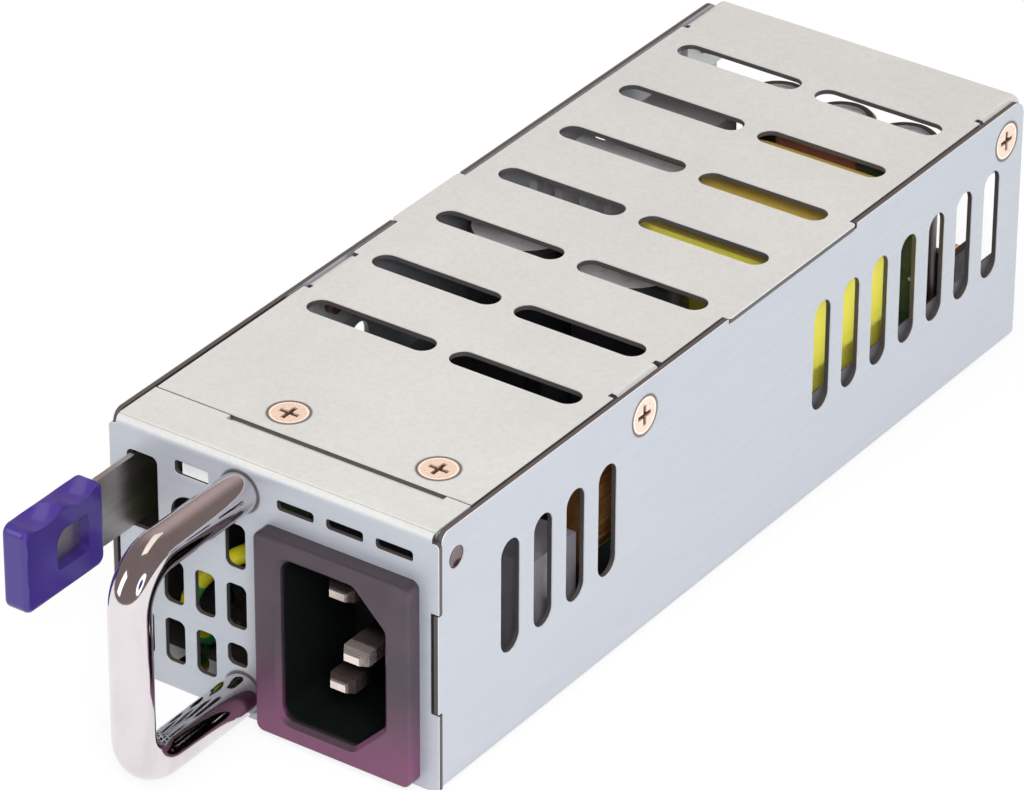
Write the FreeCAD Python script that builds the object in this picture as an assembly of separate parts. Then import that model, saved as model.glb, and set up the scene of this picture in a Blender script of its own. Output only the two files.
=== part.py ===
"""Hot swap server power supply, one node per physical piece.

Layout frame while modelling: x from the left wall's outer face to the right, y from the front
panel's face towards the rear, z up from the underside.  write() moves the origin to the middle
of the underside.  All sizes are millimetres.
"""
import FreeCAD, Part
import math
import os
from FreeCAD import Vector

# ---- Case -------------------------------------------------------------------------------------
width = 52.5
height = 39.0
depth = 142.0
sheet = 0.8                   # thickness of all case sheet
bend_radius = 0.5             # inside radius of every bend
seam_gap = 0.3                # between sheet edges that face each other
corner_round = 0.6            # sheared outer corners of flat blanks
overrun = 1.0                 # how far a cutter runs past what it cuts
coincident = 1e-6             # points closer than this are one

# ---- Tray walls -------------------------------------------------------------------------------
wall_rear_top_round = 2.5
wall_rear_bottom_round = 1.2
wall_front_top_round = 1.5
key_tab_bottom = 12.2         # tab of each wall that keys into the front panel's edge
key_tab_top = 27.0
vent_width = 4.2              # upright slots in the side walls
vent_length = 17.1
vent_centre_height = 22.1
vent_pitch = 7.37
front_vent_y = 15.8           # first slot of the front group, right wall only
front_vent_count = 4
rear_vent_inset = 7.9         # last slot of the rear group, from the rear edge
rear_vent_count = 7
lone_vent_y = 53.7            # single shorter slot of the left wall
lone_vent_bottom = 13.6
lone_vent_top = 27.0

# ---- Top cover --------------------------------------------------------------------------------
seam_y = 8.7                  # seam between front panel flange and cover
cover_side_gap = 0.4
ear_right_front = 66.5        # ears that lap over the lowered wall edges
ear_right_rear = 97.8
ear_left_front = 62.3
ear_left_rear = 78.1
louvre_width = 3.9            # slots across the cover, in two columns
louvre_edge = 4.35            # slot's end from the case's side
louvre_web = 2.8              # between the two columns
louvre_first_y = 37.7
louvre_pitch = 14.8
louvre_rear_margin = 13.0     # least distance from the last row to the rear edge
side_tab_width = 9.3          # bent tabs that take the side screws
side_tab_drop = 9.5
side_screw_drop = 5.0         # screw axis below the top
side_screw_y = 46.4
side_screw_rear_inset = 4.4
relief_width = 1.0            # bend relief notches beside the tabs
relief_depth = 1.4

# ---- Front panel ------------------------------------------------------------------------------
key_notch_depth = 1.3
tongue_left_reach = 5.8       # joggled tongue under the cover, past the left screw
tongue_right_reach = 4.8      # and past the right one
tongue_length = 10.0
joggle_run = 1.0
corner_ear_width = 4.6        # ends of the top flange, bent down inside the walls
corner_ear_y = 3.9
corner_ear_drop = 8.0
panel_rivet_drop = 4.8        # rivet axis below the top
panel_rivet_radius = 1.5
panel_rivet_head_radius = 2.1
panel_rivet_head = 0.6
panel_rivet_sink = 0.15       # rivet's end below the wall's outer face
panel_rivet_dish = 2.6        # radius of its hollow end
panel_rivet_dish_depth = 0.45
foot_flange_left = 4.0        # flange that lies on the tray floor
foot_flange_right = 16.5
foot_flange_length = 6.0
foot_flange_root = 4.0        # height over which the flange grows out of the panel
small_vent_web = 1.82         # between upright vents beside the inlet
small_vent_height = 6.8
small_vent_round = 0.3        # corner over the vent's width
small_vent_last_inset = 0.94  # last column from the handle's axis
small_vent_pitch_z = 9.3
small_vent_first_x = 4.9
small_vent_first_z = 7.35
small_vent_columns = 4
small_vent_rows = 3           # the top row has only its last column
half_vent_height = 3.4        # the lowest vent by the inlet is short
round_hole_x = 12.9
round_hole_z = 27.4
round_hole_radius = 3.1
brow_vent_width = 5.9         # three vents above the inlet
brow_vent_height = 1.6
brow_vent_first_inset = 7.2   # first vent from the inlet's axis
brow_vent_pitch = 7.8
brow_vent_drop = 4.3          # below the top
brow_vent_count = 3
brow_vent_round = 0.5
window_from_handle = 7.8      # status light window, left of the handle
window_drop = 4.35            # below the top
window_width = 5.6
window_height = 2.1
window_round = 0.6

# ---- Screws -----------------------------------------------------------------------------------
flat_head_radius = 2.75       # countersunk M3
flat_head_deepest = 1.3
screw_radius = 1.45
screw_play = 0.1
cover_screw_y = 13.45
cover_screw_from_window = 5.7 # right of the status light window
cover_screw_right_inset = 9.6
side_screw_length = 2.7
cover_screw_length = 4.0
pan_head_height = 1.9
pan_head_radius = 2.45
pan_head_bevel = 0.5
cross_width = 0.7
cross_depth = 0.9
cross_span = 1.1              # length of the cross over the head's radius

# ---- Handle -----------------------------------------------------------------------------------
handle_rod_radius = 2.9
handle_from_bezel = 3.7       # handle's axis from the inlet's bezel
handle_low_z = 3.7
handle_high_drop = 4.4        # upper end below the top
handle_reach = 23.2           # bar axis in front of the panel
handle_bend = 6.2
handle_screw_radius = 1.2
handle_screw_depth = 6.0
handle_screw_short = 0.5      # screw's tip above the hole's bottom

# ---- Release latch ----------------------------------------------------------------------------
strip_thickness = 0.8
strip_x = 3.6                 # left face of the arm
strip_bottom_drop = 15.2      # lower edge below the top
strip_height = 10.5
strip_corner = 1.0
strip_bend = 0.8              # inside radius of the joggle
latch_root_y = 35.0           # rivet line, about which the strip flexes
latch_foot_back = 3.4
latch_foot_front = 2.6
latch_play = 0.3              # between the foot and what holds it
latch_joggle = 3.0
strip_front_reach = 23.0      # strip end in front of the panel, inside the grip
latch_rivet_radius = 1.2
latch_rivet_head_radius = 2.0
latch_rivet_head = 0.7
latch_rivet_inset = 2.8       # rivet axis from the strip's top and bottom edge
catch_front_y = 8.0
catch_rear_y = 15.5
catch_nose = 1.5              # straight part of the catch's outer edge
catch_reach = 1.8             # catch outside the wall
catch_bend = 0.3
catch_root = 3.0              # height over which the catch grows out of the strip
catch_rear_round = 0.5
catch_window_play = 0.8
latch_slot_left = 2.75
latch_slot_right = 7.8
latch_slot_play = 0.8         # above and below the strip
grip_length = 16.3
grip_rear_reach = 8.8         # grip's rear face in front of the panel
grip_thickness = 3.8
grip_over = 1.05              # grip below the strip's lower edge
grip_height = 12.7
grip_corner = 1.5
grip_edge = 0.7
scoop_radius = 7.5            # two scoops in the top edge, deeper on the right face
scoop_depth = 1.1
scoop_spread = 3.85
dimple_radius = 6.0           # two shallow dimples over the front edge
dimple_depth = 0.5
dimple_spread = 2.9
under_scoop_depth = 0.35
grip_window_front = 18.5      # window edges in front of the panel, down to the strip
grip_window_rear = 12.0
grip_window_low = 3.55        # above the grip's bottom
grip_window_high = 9.25
grip_window_round = 0.7
grip_window_corner = 2.0      # its upper corner at the front

# ---- Mains inlet ------------------------------------------------------------------------------
inlet_from_right = 15.3       # inlet axis from the right wall's outer face
inlet_z = 16.0
bezel_width = 24.6
bezel_height = 30.6
bezel_proud = 2.5
bezel_corner = 1.2
bezel_edge = 0.5
socket_width = 16.6
socket_height = 24.6
socket_depth = 16.8
socket_bevel = 5.0
socket_round = 1.5
socket_flat_round = 2.0       # corners opposite the bevels
mouth_margin = 0.1            # round the mouth, when its edges are picked
socket_lead_in = 0.6
shell_corner = 1.0
inlet_wall = 1.7
inlet_base = 3.9
inlet_play = 0.3
snap_length = 5.0
snap_height = 1.0
snap_width = 6.0
blade_width = 4.0
blade_thickness = 2.0
blade_spacing = 14.0
blade_row_offset = 2.0        # live blades to one side of the axis, earth blade to the other
live_tip_below_rim = 4.2
earth_tip_below_rim = 1.8
blade_nose_length = 1.2       # tapered tip
blade_nose_width = 2.4
blade_nose_thickness = 1.1
tab_thickness = 0.8
tab_length = 5.2

# ---- Earth lead -------------------------------------------------------------------------------
earth_wire_radius = 1.25
earth_point_x = 8.5
earth_point_y = 12.0
ring_outer_radius = 3.0
ring_thickness = 0.8
barrel_length = 2.0
bend_share = 0.45             # of the shorter run beside a bend, taken by the bend
earth_wire_by_inlet = ((-5.0, 20.4, 18.0), (-13.6, 19.8, 20.6), (-15.6, 11.4, 21.6))
earth_wire_by_ring = ((7.7, 7.2, 19.8), (2.1, 5.4, 15.2), (-0.6, 5.2, 9.6), (0, 6.6, 4.6))

# ---- Status light -----------------------------------------------------------------------------
light_pipe_width = 4.2
light_pipe_height = 1.7
light_pipe_flange = 0.8
light_pipe_flange_thickness = 1.0
light_pipe_sink = 0.2         # its end below the panel's face
light_pipe_shift = 0.5        # its middle to the right of the window's middle
light_board_y = 20.5
light_board_width = 8.4
light_board_left = 3.0        # its left edge from the window's middle
light_board_thickness = 1.0
light_board_over = 1.6        # board above the light's axis
led_depth = 1.2
led_width = 3.2
led_height = 1.6

# ---- Main board -------------------------------------------------------------------------------
film = 0.25                   # insulating film on the floor and up the walls
film_front_y = 19.2
film_low_fold = 9.0
film_high_fold = 15.2
film_rear_inset = 0.4
film_step_y = 60.0
film_hole_play = 0.4
board_thickness = 1.6
board_lift = 3.0              # standoff height above the floor
board_side_inset = 2.0
board_front_y = 18.8
board_rear_inset = 1.0
board_corner = 0.8
board_screw_bite = 2.2        # screw inside the standoff
standoff_bore = 2.5
standoff_radius = 2.6
standoff_shank_radius = 2.1
standoff_inset_x = 6.2
standoff_front_y = 21.6
standoff_middle_inset = 74.5
standoff_rear_left_inset = 9.0
standoff_rear_right_inset = 19.2

# ---- Parts on the main board ------------------------------------------------------------------
headroom = 4.0                # between the tall parts and the cover
fuse_gap = 1.5                # to the mains filter capacitor
fuse_y = 31.0
fuse_length = 20.0
fuse_radius = 2.6
fuse_cap_length = 5.0
fuse_cap_wall = 0.3
fuse_lift = 0.6
clip_width = 3.0
clip_inset = 1.0              # from the end of the fuse
clip_wall = 0.5
clip_lip = 0.4
clip_rise = 1.0               # clip above the fuse's axis
varistor_gap = 1.7            # to the mains filter capacitor
varistor_y = 36.4
varistor_radius = 5.0
varistor_thickness = 4.0
varistor_bevel = 0.9
varistor_lift = 1.2
varistor_leg_spread = 3.0
varistor_leg_height = 4.0
leg_radius = 0.5
x_cap_from_right = 3.0        # face from the right wall's outer face
x_cap_length = 18.0
x_cap_width = 10.8
x_cap_height = 15.6
x_cap_y = 24.3
moulded_round = 0.6           # corners of the moulded parts
choke_from_right = 14.6       # common mode choke, standing ring
choke_y = 45.0
choke_outer_radius = 9.2
choke_inner_radius = 5.4
choke_core_width = 7.0
choke_wire = 1.6
choke_winding_half_angle = 64.0
choke_base_height = 2.0
choke_base_length = 20.0
choke_base_width = 13.0
choke_post_width = 4.4
choke_post_rise = 0.6         # post above the ring's lowest point
choke_turns = 9
choke_groove = 0.45
choke_winding_play = 0.2
relay_x = 13.0
relay_gap = 0.4               # behind the varistor
relay_length = 13.0
relay_width = 10.4
relay_height = 15.0
bridge_x = 13.5
bridge_rear_inset = 81.5          # its front face, from the rear edge
bridge_length = 20.0
bridge_thickness = 4.0
bridge_height = 18.0
bridge_lift = 2.5
bridge_bevel = 3.0
bridge_hole_drop = 6.0
bridge_hole_radius = 1.6
bridge_leg_pitch = 4.8
bridge_leg_count = 4
flat_leg = 1.0                # width of a flat leg
bulk_cap_radius = 8.0
bulk_cap_first_x = 10.9
bulk_cap_pitch = 17.6
bulk_cap_rear_inset = 63.4
heatsink_left = 3.0
heatsink_gap = 1.4            # to the transformer
heatsink_rear_inset = 37.4    # back of the fins' base plate
heatsink_base = 2.4
heatsink_fin = 1.2
heatsink_fin_depth = 11.0
heatsink_fin_count = 5
transistor_gap = 1.0          # between the two packages
transistor_height = 15.2
transistor_thickness = 3.4
transistor_lift = 3.5
transistor_split = 10.3       # top of the moulding above the board
transistor_tab = 1.3
transistor_tab_over = 2.0     # tab above the top of the outline
transistor_hole_radius = 1.5
transistor_hole_drop = 1.0
transistor_leg_pitch = 2.54
transistor_leg = 0.8
transistor_leg_y = 1.6        # front of the legs behind the heatsink
transistor_screw_radius = 1.15
transistor_screw_head = 2.2
transistor_screw_play = 0.05
pfc_choke_left = 3.2
pfc_choke_gap = 3.15          # its right side from the first can's axis
pfc_choke_rear_inset = 16.6
pfc_choke_length = 17.0
pfc_choke_round = 2.0
pfc_choke_drop = 1.0          # below the other tall parts
transformer_from_right = 17.3
transformer_rear_inset = 40.35
transformer_width = 26.0
transformer_length = 29.3
transformer_round = 4.0
ferrite_plate = 3.6
ferrite_leg_radius = 5.6
transformer_over = 1.0        # above the other tall parts
tape_lift = 1.0               # lower edge of the tape above the bobbin
tape_margin = 0.5
bobbin_flange = 1.4
bobbin_inset = 1.0
inductor_gap = 0.4            # to the control board
inductor_length = 13.2
inductor_width = 5.2
inductor_rear_inset = 19.6
inductor_over = 2.0
inductor_round = 1.0
control_board_from_right = 2.4
control_board_width = 10.0
control_board_rear_inset = 23.7
control_board_thickness = 1.2
control_board_over = 1.5
# small parts: (across, up, width, height, depth) from the board's lower left corner
control_board_part_sizes = ((2.2, 4.5, 2.6, 3.2, 1.4), (5.6, 5.0, 2.8, 2.6, 1.3),
                            (3.8, 10.5, 3.6, 2.4, 1.2), (2.4, 16.0, 2.0, 1.6, 1.1),
                            (6.2, 17.5, 2.4, 2.4, 1.0))
output_cap_radius = 5.0
output_cap_from_right = 12.05  # axis of the last can
output_cap_pitch = 10.65
output_cap_rear_inset = 12.0
output_cap_count = 3
sleeve = 0.35                 # shrink sleeve on every can
output_cap_lip = 1.5          # sleeve and bead round the bare top
bulk_cap_lip = 0.6
can_foot = 0.8
can_edge = 0.5
bead_depth = 0.7
bead_middle = 2.6             # rolled bead above the board
bead_half = 0.6
can_recess = 0.5
score_depth = 0.2
score_width = 0.3
score_share = 0.6             # length of the scores over the can's diameter
score_angles = (0, 60, 120)

# ---- Output connector -------------------------------------------------------------------------
connector_left = 9.5
connector_right_inset = 6.4
connector_length = 5.8
connector_height = 8.6
connector_floor = 1.4
connector_wall = 1.2
power_blade_pitch = 5.4
power_blade_count = 4
power_blade_thickness = 1.2
power_blade_height = 6.0
power_blade_first_inset = 3.0
power_blade_over = 1.2        # blade tips behind the board's edge
power_blade_low_round = 1.0
power_blade_high_round = 2.0
signal_pin_pitch = 2.0
signal_pin_columns = 5
signal_pin_size = 0.6
signal_pin_rows = 3
signal_pin_first_x = 3.2      # from the housing's left side
signal_pin_first_z = 1.2      # above the housing's floor

# ---- Values worked out from the sizes above ---------------------------------------------------
bend_outer = bend_radius + sheet
wall_right = width - sheet
top_under = height - sheet
board_left = board_side_inset
board_right = width - board_side_inset
board_rear = depth - board_rear_inset
board_bottom = sheet + board_lift
board_top = board_bottom + board_thickness
tall_top = top_under - headroom
strip_bottom = height - strip_bottom_drop
strip_top = strip_bottom + strip_height
strip_right = strip_x + strip_thickness
strip_middle_x = strip_x + strip_thickness / 2
latch_foot_x = sheet + latch_play
side_screw_z = height - side_screw_drop
panel_rivet_height = height - panel_rivet_drop
louvre_length = width / 2 - louvre_edge - louvre_web / 2
louvre_offset = (louvre_web + louvre_length) / 2
inlet_x = width - inlet_from_right
inlet_rim_y = -bezel_proud
handle_x = inlet_x - bezel_width / 2 - handle_from_bezel
handle_high_z = height - handle_high_drop
window_x = handle_x - window_from_handle
window_z = height - window_drop
cover_screw_x = (window_x + cover_screw_from_window, width - cover_screw_right_inset)
tongue_left = cover_screw_x[0] - tongue_left_reach
tongue_right = cover_screw_x[1] + tongue_right_reach
transformer_left = width - transformer_from_right - transformer_width / 2
heatsink_right = transformer_left - heatsink_gap
transistor_width = (heatsink_right - heatsink_left - transistor_gap) / 2
output_cap_first_x = (width - output_cap_from_right -
                      (output_cap_count - 1) * output_cap_pitch)
x_cap_left = width - x_cap_from_right - x_cap_length
fuse_x = x_cap_left - fuse_gap - fuse_length / 2
varistor_x = x_cap_left - varistor_gap - varistor_radius
relay_y = varistor_y + varistor_thickness / 2 + relay_gap + relay_width / 2
inlet_floor_y = inlet_rim_y + socket_depth
inlet_back_y = inlet_floor_y + inlet_base
cover_front = seam_y + seam_gap / 2
flange_rear = seam_y - seam_gap / 2
joggle_front = flange_rear - joggle_run


# ---- Shape helpers ----------------------------------------------------------------------------
def block(x0, x1, y0, y1, z0, z1):
    """Box between two limits on each axis."""
    return Part.makeBox(x1 - x0, y1 - y0, z1 - z0, Vector(x0, y0, z0))


def cylinder(start, direction, length, radius):
    return Part.makeCylinder(radius, length, Vector(*start), Vector(*direction))


def rectangle(u0, u1, v0, v1, radius=0.0):
    """Four corner points, each (u, v, corner radius)."""
    return [(u0, v0, radius), (u1, v0, radius), (u1, v1, radius), (u0, v1, radius)]


def slot(u, v, size_u, size_v, radius=None):
    """Corner points of a slot about its centre; without a radius its short ends are round."""
    if radius is None:
        radius = min(size_u, size_v) / 2
    return rectangle(u - size_u / 2, u + size_u / 2, v - size_v / 2, v + size_v / 2, radius)


def outline(points, place):
    """Closed face through corner points (u, v) or (u, v, radius), mapped to space by place."""
    flat = [Vector(p[0], p[1], 0) for p in points]
    radii = [p[2] if len(p) > 2 else 0.0 for p in points]
    entries, exits, arcs = [], [], []
    for i, corner in enumerate(flat):
        to_last = (flat[i - 1] - corner).normalize()
        to_next = (flat[(i + 1) % len(flat)] - corner).normalize()
        if radii[i] <= 0:
            entries.append(corner)
            exits.append(corner)
            arcs.append(None)
            continue
        half = to_last.getAngle(to_next) / 2
        run = radii[i] / math.tan(half)
        middle = (to_last + to_next).normalize() * (radii[i] / math.sin(half) - radii[i])
        entries.append(corner + to_last * run)
        exits.append(corner + to_next * run)
        arcs.append(corner + middle)
    edges = []
    for i in range(len(flat)):
        if arcs[i] is not None:
            edges.append(Part.Arc(place(entries[i]), place(arcs[i]), place(exits[i])).toShape())
        following = entries[(i + 1) % len(flat)]
        if (following - exits[i]).Length > coincident:
            edges.append(Part.LineSegment(place(exits[i]), place(following)).toShape())
    return Part.Face(Part.Wire(edges))


def prism_x(points, x0, x1):
    """Outline in (y, z) drawn along x."""
    return outline(points, lambda p: Vector(x0, p.x, p.y)).extrude(Vector(x1 - x0, 0, 0))


def prism_y(points, y0, y1):
    """Outline in (x, z) drawn along y."""
    return outline(points, lambda p: Vector(p.x, y0, p.y)).extrude(Vector(0, y1 - y0, 0))


def prism_z(points, z0, z1):
    """Outline in (x, y) drawn along z."""
    return outline(points, lambda p: Vector(p.x, p.y, z0)).extrude(Vector(0, 0, z1 - z0))


def mirrored(shape):
    """The same shape on the other side of the case's middle plane."""
    return shape.mirror(Vector(width / 2, 0, 0), Vector(1, 0, 0))


def fused(shapes):
    whole = shapes[0]
    if len(shapes) > 1:
        whole = shapes[0].fuse(shapes[1:])
    return whole.removeSplitter()


def path_sweep(points, radius, bend):
    """Round rod along straight runs joined by tangent arcs of one bend radius."""
    vectors = [Vector(*p) for p in points]
    edges = []
    start = vectors[0]
    for i in range(1, len(vectors) - 1):
        corner = vectors[i]
        back = (vectors[i - 1] - corner).normalize()
        ahead = (vectors[i + 1] - corner).normalize()
        half = back.getAngle(ahead) / 2
        run = bend[i - 1] / math.tan(half)
        entry = corner + back * run
        leave = corner + ahead * run
        middle = (back + ahead).normalize() * (bend[i - 1] / math.sin(half) - bend[i - 1])
        edges.append(Part.LineSegment(start, entry).toShape())
        edges.append(Part.Arc(entry, corner + middle, leave).toShape())
        start = leave
    edges.append(Part.LineSegment(start, vectors[-1]).toShape())
    path = Part.Wire(edges)
    first = (vectors[1] - vectors[0]).normalize()
    profile = Part.Wire([Part.makeCircle(radius, vectors[0], first)])
    return path.makePipeShell([profile], True, False)


def group(solids):
    """Several separate solids of one node."""
    return Part.makeCompound(solids)


def write(node, shape):
    shape = shape.copy()
    shape.translate(Vector(-width / 2, -depth / 2, 0))
    if not shape.isValid():
        raise ValueError(node + " is not a valid shape")
    shape.exportStep("parts/" + node + ".step")


# ---- Screws -----------------------------------------------------------------------------------
def flat_head_depth():
    return min(flat_head_radius - screw_radius, flat_head_deepest)


def countersink(tip, direction, play=0.0):
    """Cone of a flat head and its shank hole; tip is the middle of the head's face."""
    point = Vector(*tip)
    axis = Vector(*direction)
    head = Part.makeCone(flat_head_radius + play, screw_radius + play, flat_head_depth(),
                         point, axis)
    shank = Part.makeCylinder(screw_radius + play, cover_screw_length, point, axis)
    return head.fuse(shank)


def cross_recess(tip, direction, radius):
    """Two crossed grooves sunk into a screw head."""
    axis = Vector(*direction)
    long_side = radius * cross_span
    bars = []
    for size_u, size_v in ((long_side, cross_width), (cross_width, long_side)):
        bar = Part.makeBox(size_u, size_v, cross_depth, Vector(-size_u / 2, -size_v / 2, 0))
        bar.Placement = FreeCAD.Placement(Vector(*tip), FreeCAD.Rotation(Vector(0, 0, 1), axis))
        bars.append(bar)
    return bars[0].fuse(bars[1])


def flat_screw(tip, direction, length):
    point = Vector(*tip)
    axis = Vector(*direction)
    head = Part.makeCone(flat_head_radius, screw_radius, flat_head_depth(), point, axis)
    shank = Part.makeCylinder(screw_radius, length, point, axis)
    return head.fuse(shank).cut(cross_recess(tip, direction, flat_head_radius))


def pan_screw(seat, direction, length, head_radius=pan_head_radius, radius=screw_radius):
    """Plain hidden screw; seat is where the head meets its bearing face."""
    point = Vector(*seat)
    axis = Vector(*direction)
    top = point - axis * pan_head_height
    head = Part.makeCylinder(head_radius, pan_head_height, top, axis)
    rim = [edge for edge in head.Edges if edge.Closed and
           (edge.CenterOfMass - top).Length < screw_play]
    head = head.makeChamfer(pan_head_bevel, rim)
    shank = Part.makeCylinder(radius, length, point, axis)
    return head.fuse(shank)


# ---- Tray -------------------------------------------------------------------------------------
def wall_outline(ear_front, ear_rear):
    """Side view of one wall: key tab at the front, recess for the cover's ear at the top."""
    low = height - sheet
    return [(sheet, 0, 0),
            (depth, 0, wall_rear_bottom_round),
            (depth, height, wall_rear_top_round),
            (ear_rear + seam_gap, height, 0),
            (ear_rear + seam_gap, low, 0),
            (ear_front - seam_gap, low, 0),
            (ear_front - seam_gap, height, 0),
            (sheet, height, wall_front_top_round),
            (sheet, key_tab_top, 0),
            (0, key_tab_top, 0),
            (0, key_tab_bottom, 0),
            (sheet, key_tab_bottom, 0)]


def rear_vent_positions():
    last = depth - rear_vent_inset
    return [last - i * vent_pitch for i in range(rear_vent_count)]


def vent_cutters(positions, x0, x1):
    return [prism_x(slot(y, vent_centre_height, vent_width, vent_length), x0, x1)
            for y in positions]


def side_screw_positions():
    return (side_screw_y, depth - side_screw_rear_inset)


def chassis_tray():
    middle = width / 2
    channel = prism_y([(0, 0, bend_outer), (width, 0, bend_outer), (width, height, 0),
                       (wall_right, height, 0), (wall_right, sheet, bend_radius),
                       (sheet, sheet, bend_radius), (sheet, height, 0), (0, height, 0)],
                      0, depth)
    blanks = fused([prism_x(wall_outline(ear_left_front, ear_left_rear), 0, middle),
                    prism_x(wall_outline(ear_right_front, ear_right_rear), middle, width)])
    tray = channel.common(blanks)
    front_group = [front_vent_y + i * vent_pitch for i in range(front_vent_count)]
    cutters = vent_cutters(front_group + rear_vent_positions(), wall_right - overrun,
                           width + overrun)
    cutters += vent_cutters(rear_vent_positions(), -overrun, sheet + overrun)
    lone_middle = (lone_vent_bottom + lone_vent_top) / 2
    cutters.append(prism_x(slot(lone_vent_y, lone_middle, vent_width,
                                lone_vent_top - lone_vent_bottom), -overrun, sheet + overrun))
    cutters.append(catch_window())
    for y in side_screw_positions():
        cutters.append(countersink((0, y, side_screw_z), (1, 0, 0)))
        cutters.append(countersink((width, y, side_screw_z), (-1, 0, 0)))
    for x in (0, wall_right):
        cutters.append(cylinder((x - overrun, corner_ear_y, panel_rivet_height), (1, 0, 0),
                                sheet + 2 * overrun, panel_rivet_radius + screw_play))
    for z in latch_rivet_heights():
        cutters.append(cylinder((-overrun, latch_root_y, z), (1, 0, 0), sheet + 2 * overrun,
                                latch_rivet_radius))
    cutters.append(floor_rivet_hole())
    for x, y in standoff_positions():
        cutters.append(cylinder((x, y, -overrun), (0, 0, 1), sheet + 2 * overrun,
                                standoff_shank_radius))
    cutters.append(cylinder((earth_point_x, earth_point_y, -overrun), (0, 0, 1),
                            sheet + 2 * overrun, screw_radius))
    return tray.cut(cutters)


def catch_window():
    """Opening in the left wall through which the latch's catch works."""
    z0 = strip_bottom - catch_window_play
    z1 = strip_bottom + strip_thickness + catch_window_play
    points = rectangle(catch_front_y - catch_window_play, catch_rear_y + catch_window_play,
                       z0, z1, bend_radius)
    return prism_x(points, -overrun, sheet + overrun)


# ---- Top cover --------------------------------------------------------------------------------
def louvre_rows():
    count = int((depth - louvre_rear_margin - louvre_first_y) // louvre_pitch) + 1
    return [louvre_first_y + i * louvre_pitch for i in range(count)]


def side_tab(y0, y1):
    """Right hand tab: bent down from the cover, flat against the wall's inside."""
    root = wall_right - relief_depth - bend_outer
    bottom = height - side_tab_drop
    return prism_y([(root, height, 0), (wall_right, height, bend_outer),
                    (wall_right, bottom, 0), (wall_right - sheet, bottom, 0),
                    (wall_right - sheet, top_under, bend_radius), (root, top_under, 0)],
                   y0, y1)


def top_cover():
    left = sheet + cover_side_gap
    right = wall_right - cover_side_gap
    plate = prism_z(rectangle(left, right, cover_front, depth), top_under, height)
    ear_right = prism_z([(right - overrun, ear_right_front, 0),
                         (width, ear_right_front, corner_round),
                         (width, ear_right_rear, corner_round),
                         (right - overrun, ear_right_rear, 0)], top_under, height)
    ear_left = prism_z([(left + overrun, ear_left_front, 0), (0, ear_left_front, corner_round),
                        (0, ear_left_rear, corner_round), (left + overrun, ear_left_rear, 0)],
                       top_under, height)
    front_tab = (side_screw_y - side_tab_width / 2, side_screw_y + side_tab_width / 2)
    rear_middle = depth - side_screw_rear_inset
    rear_tab = (rear_middle - side_tab_width / 2, depth)
    notches = []
    for y in (front_tab[0] - relief_width, front_tab[1], rear_tab[0] - relief_width):
        notches.append(block(wall_right - relief_depth, wall_right + overrun,
                             y, y + relief_width, top_under - overrun, height + overrun))
    notches += [mirrored(notch) for notch in notches]
    tabs = [side_tab(*front_tab), side_tab(*rear_tab)]
    tabs += [mirrored(tab) for tab in tabs]
    bends = []
    for y0, y1 in (front_tab, rear_tab):
        strip = block(wall_right - relief_depth, wall_right + overrun, y0, y1,
                      top_under - overrun, height + overrun)
        bends += [strip, mirrored(strip)]
    plate = plate.cut(notches + bends)
    cover = fused([plate, ear_right, ear_left] + tabs)
    openings = []
    for y in louvre_rows():
        for side in (-1, 1):
            openings.append(prism_z(slot(width / 2 + side * louvre_offset, y,
                                         louvre_length, louvre_width),
                                    top_under - overrun, height + overrun))
    for x in cover_screw_x:
        openings.append(countersink((x, cover_screw_y, height), (0, 0, -1)))
    for y in side_screw_positions():
        hole = cylinder((wall_right - sheet - overrun, y, side_screw_z), (1, 0, 0),
                        sheet + 2 * overrun, screw_radius + screw_play)
        openings += [hole, mirrored(hole)]
        cone = countersink((width, y, side_screw_z), (-1, 0, 0), screw_play)
        openings += [cone, mirrored(cone)]
    return cover.cut(openings)


# ---- Front panel ------------------------------------------------------------------------------
def corner_ear():
    """Right hand end of the top flange, bent down inside the wall."""
    y0 = corner_ear_y - corner_ear_width / 2
    y1 = corner_ear_y + corner_ear_width / 2
    root = wall_right - bend_outer - overrun
    bottom = height - corner_ear_drop
    return prism_y([(root, height, 0), (wall_right, height, bend_outer),
                    (wall_right, bottom, 0), (wall_right - sheet, bottom, 0),
                    (wall_right - sheet, top_under, bend_radius), (root, top_under, 0)],
                   y0, y1)


def small_vents():
    """Grid of upright vents beside the inlet; the short one sits above the lower screw."""
    cutters = []
    last_column = small_vent_columns - 1
    span = handle_x - small_vent_last_inset - small_vent_first_x
    pitch = span / last_column
    across = pitch - small_vent_web
    for column in range(small_vent_columns):
        x = small_vent_first_x + column * pitch
        for row in range(small_vent_rows):
            if row == small_vent_rows - 1 and column < last_column:
                continue
            z = small_vent_first_z + row * small_vent_pitch_z
            tall = small_vent_height
            if row == 0 and column == last_column:
                tall = half_vent_height
                z += (small_vent_height - half_vent_height) / 2
            cutters.append(prism_y(slot(x, z, across, tall, across * small_vent_round),
                                   -overrun, sheet + overrun))
    return cutters


def inlet_cutout():
    half_w = socket_width / 2 + inlet_wall + inlet_play
    half_h = socket_height / 2 + inlet_wall + inlet_play
    return prism_y(rectangle(inlet_x - half_w, inlet_x + half_w,
                             inlet_z - half_h, inlet_z + half_h, shell_corner),
                   -overrun, sheet + overrun)


def latch_slot():
    z0 = strip_bottom - latch_slot_play
    z1 = strip_top + latch_slot_play / 2
    return prism_y(rectangle(latch_slot_left, latch_slot_right, z0, z1, strip_corner),
                   -overrun, sheet + overrun)


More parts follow.
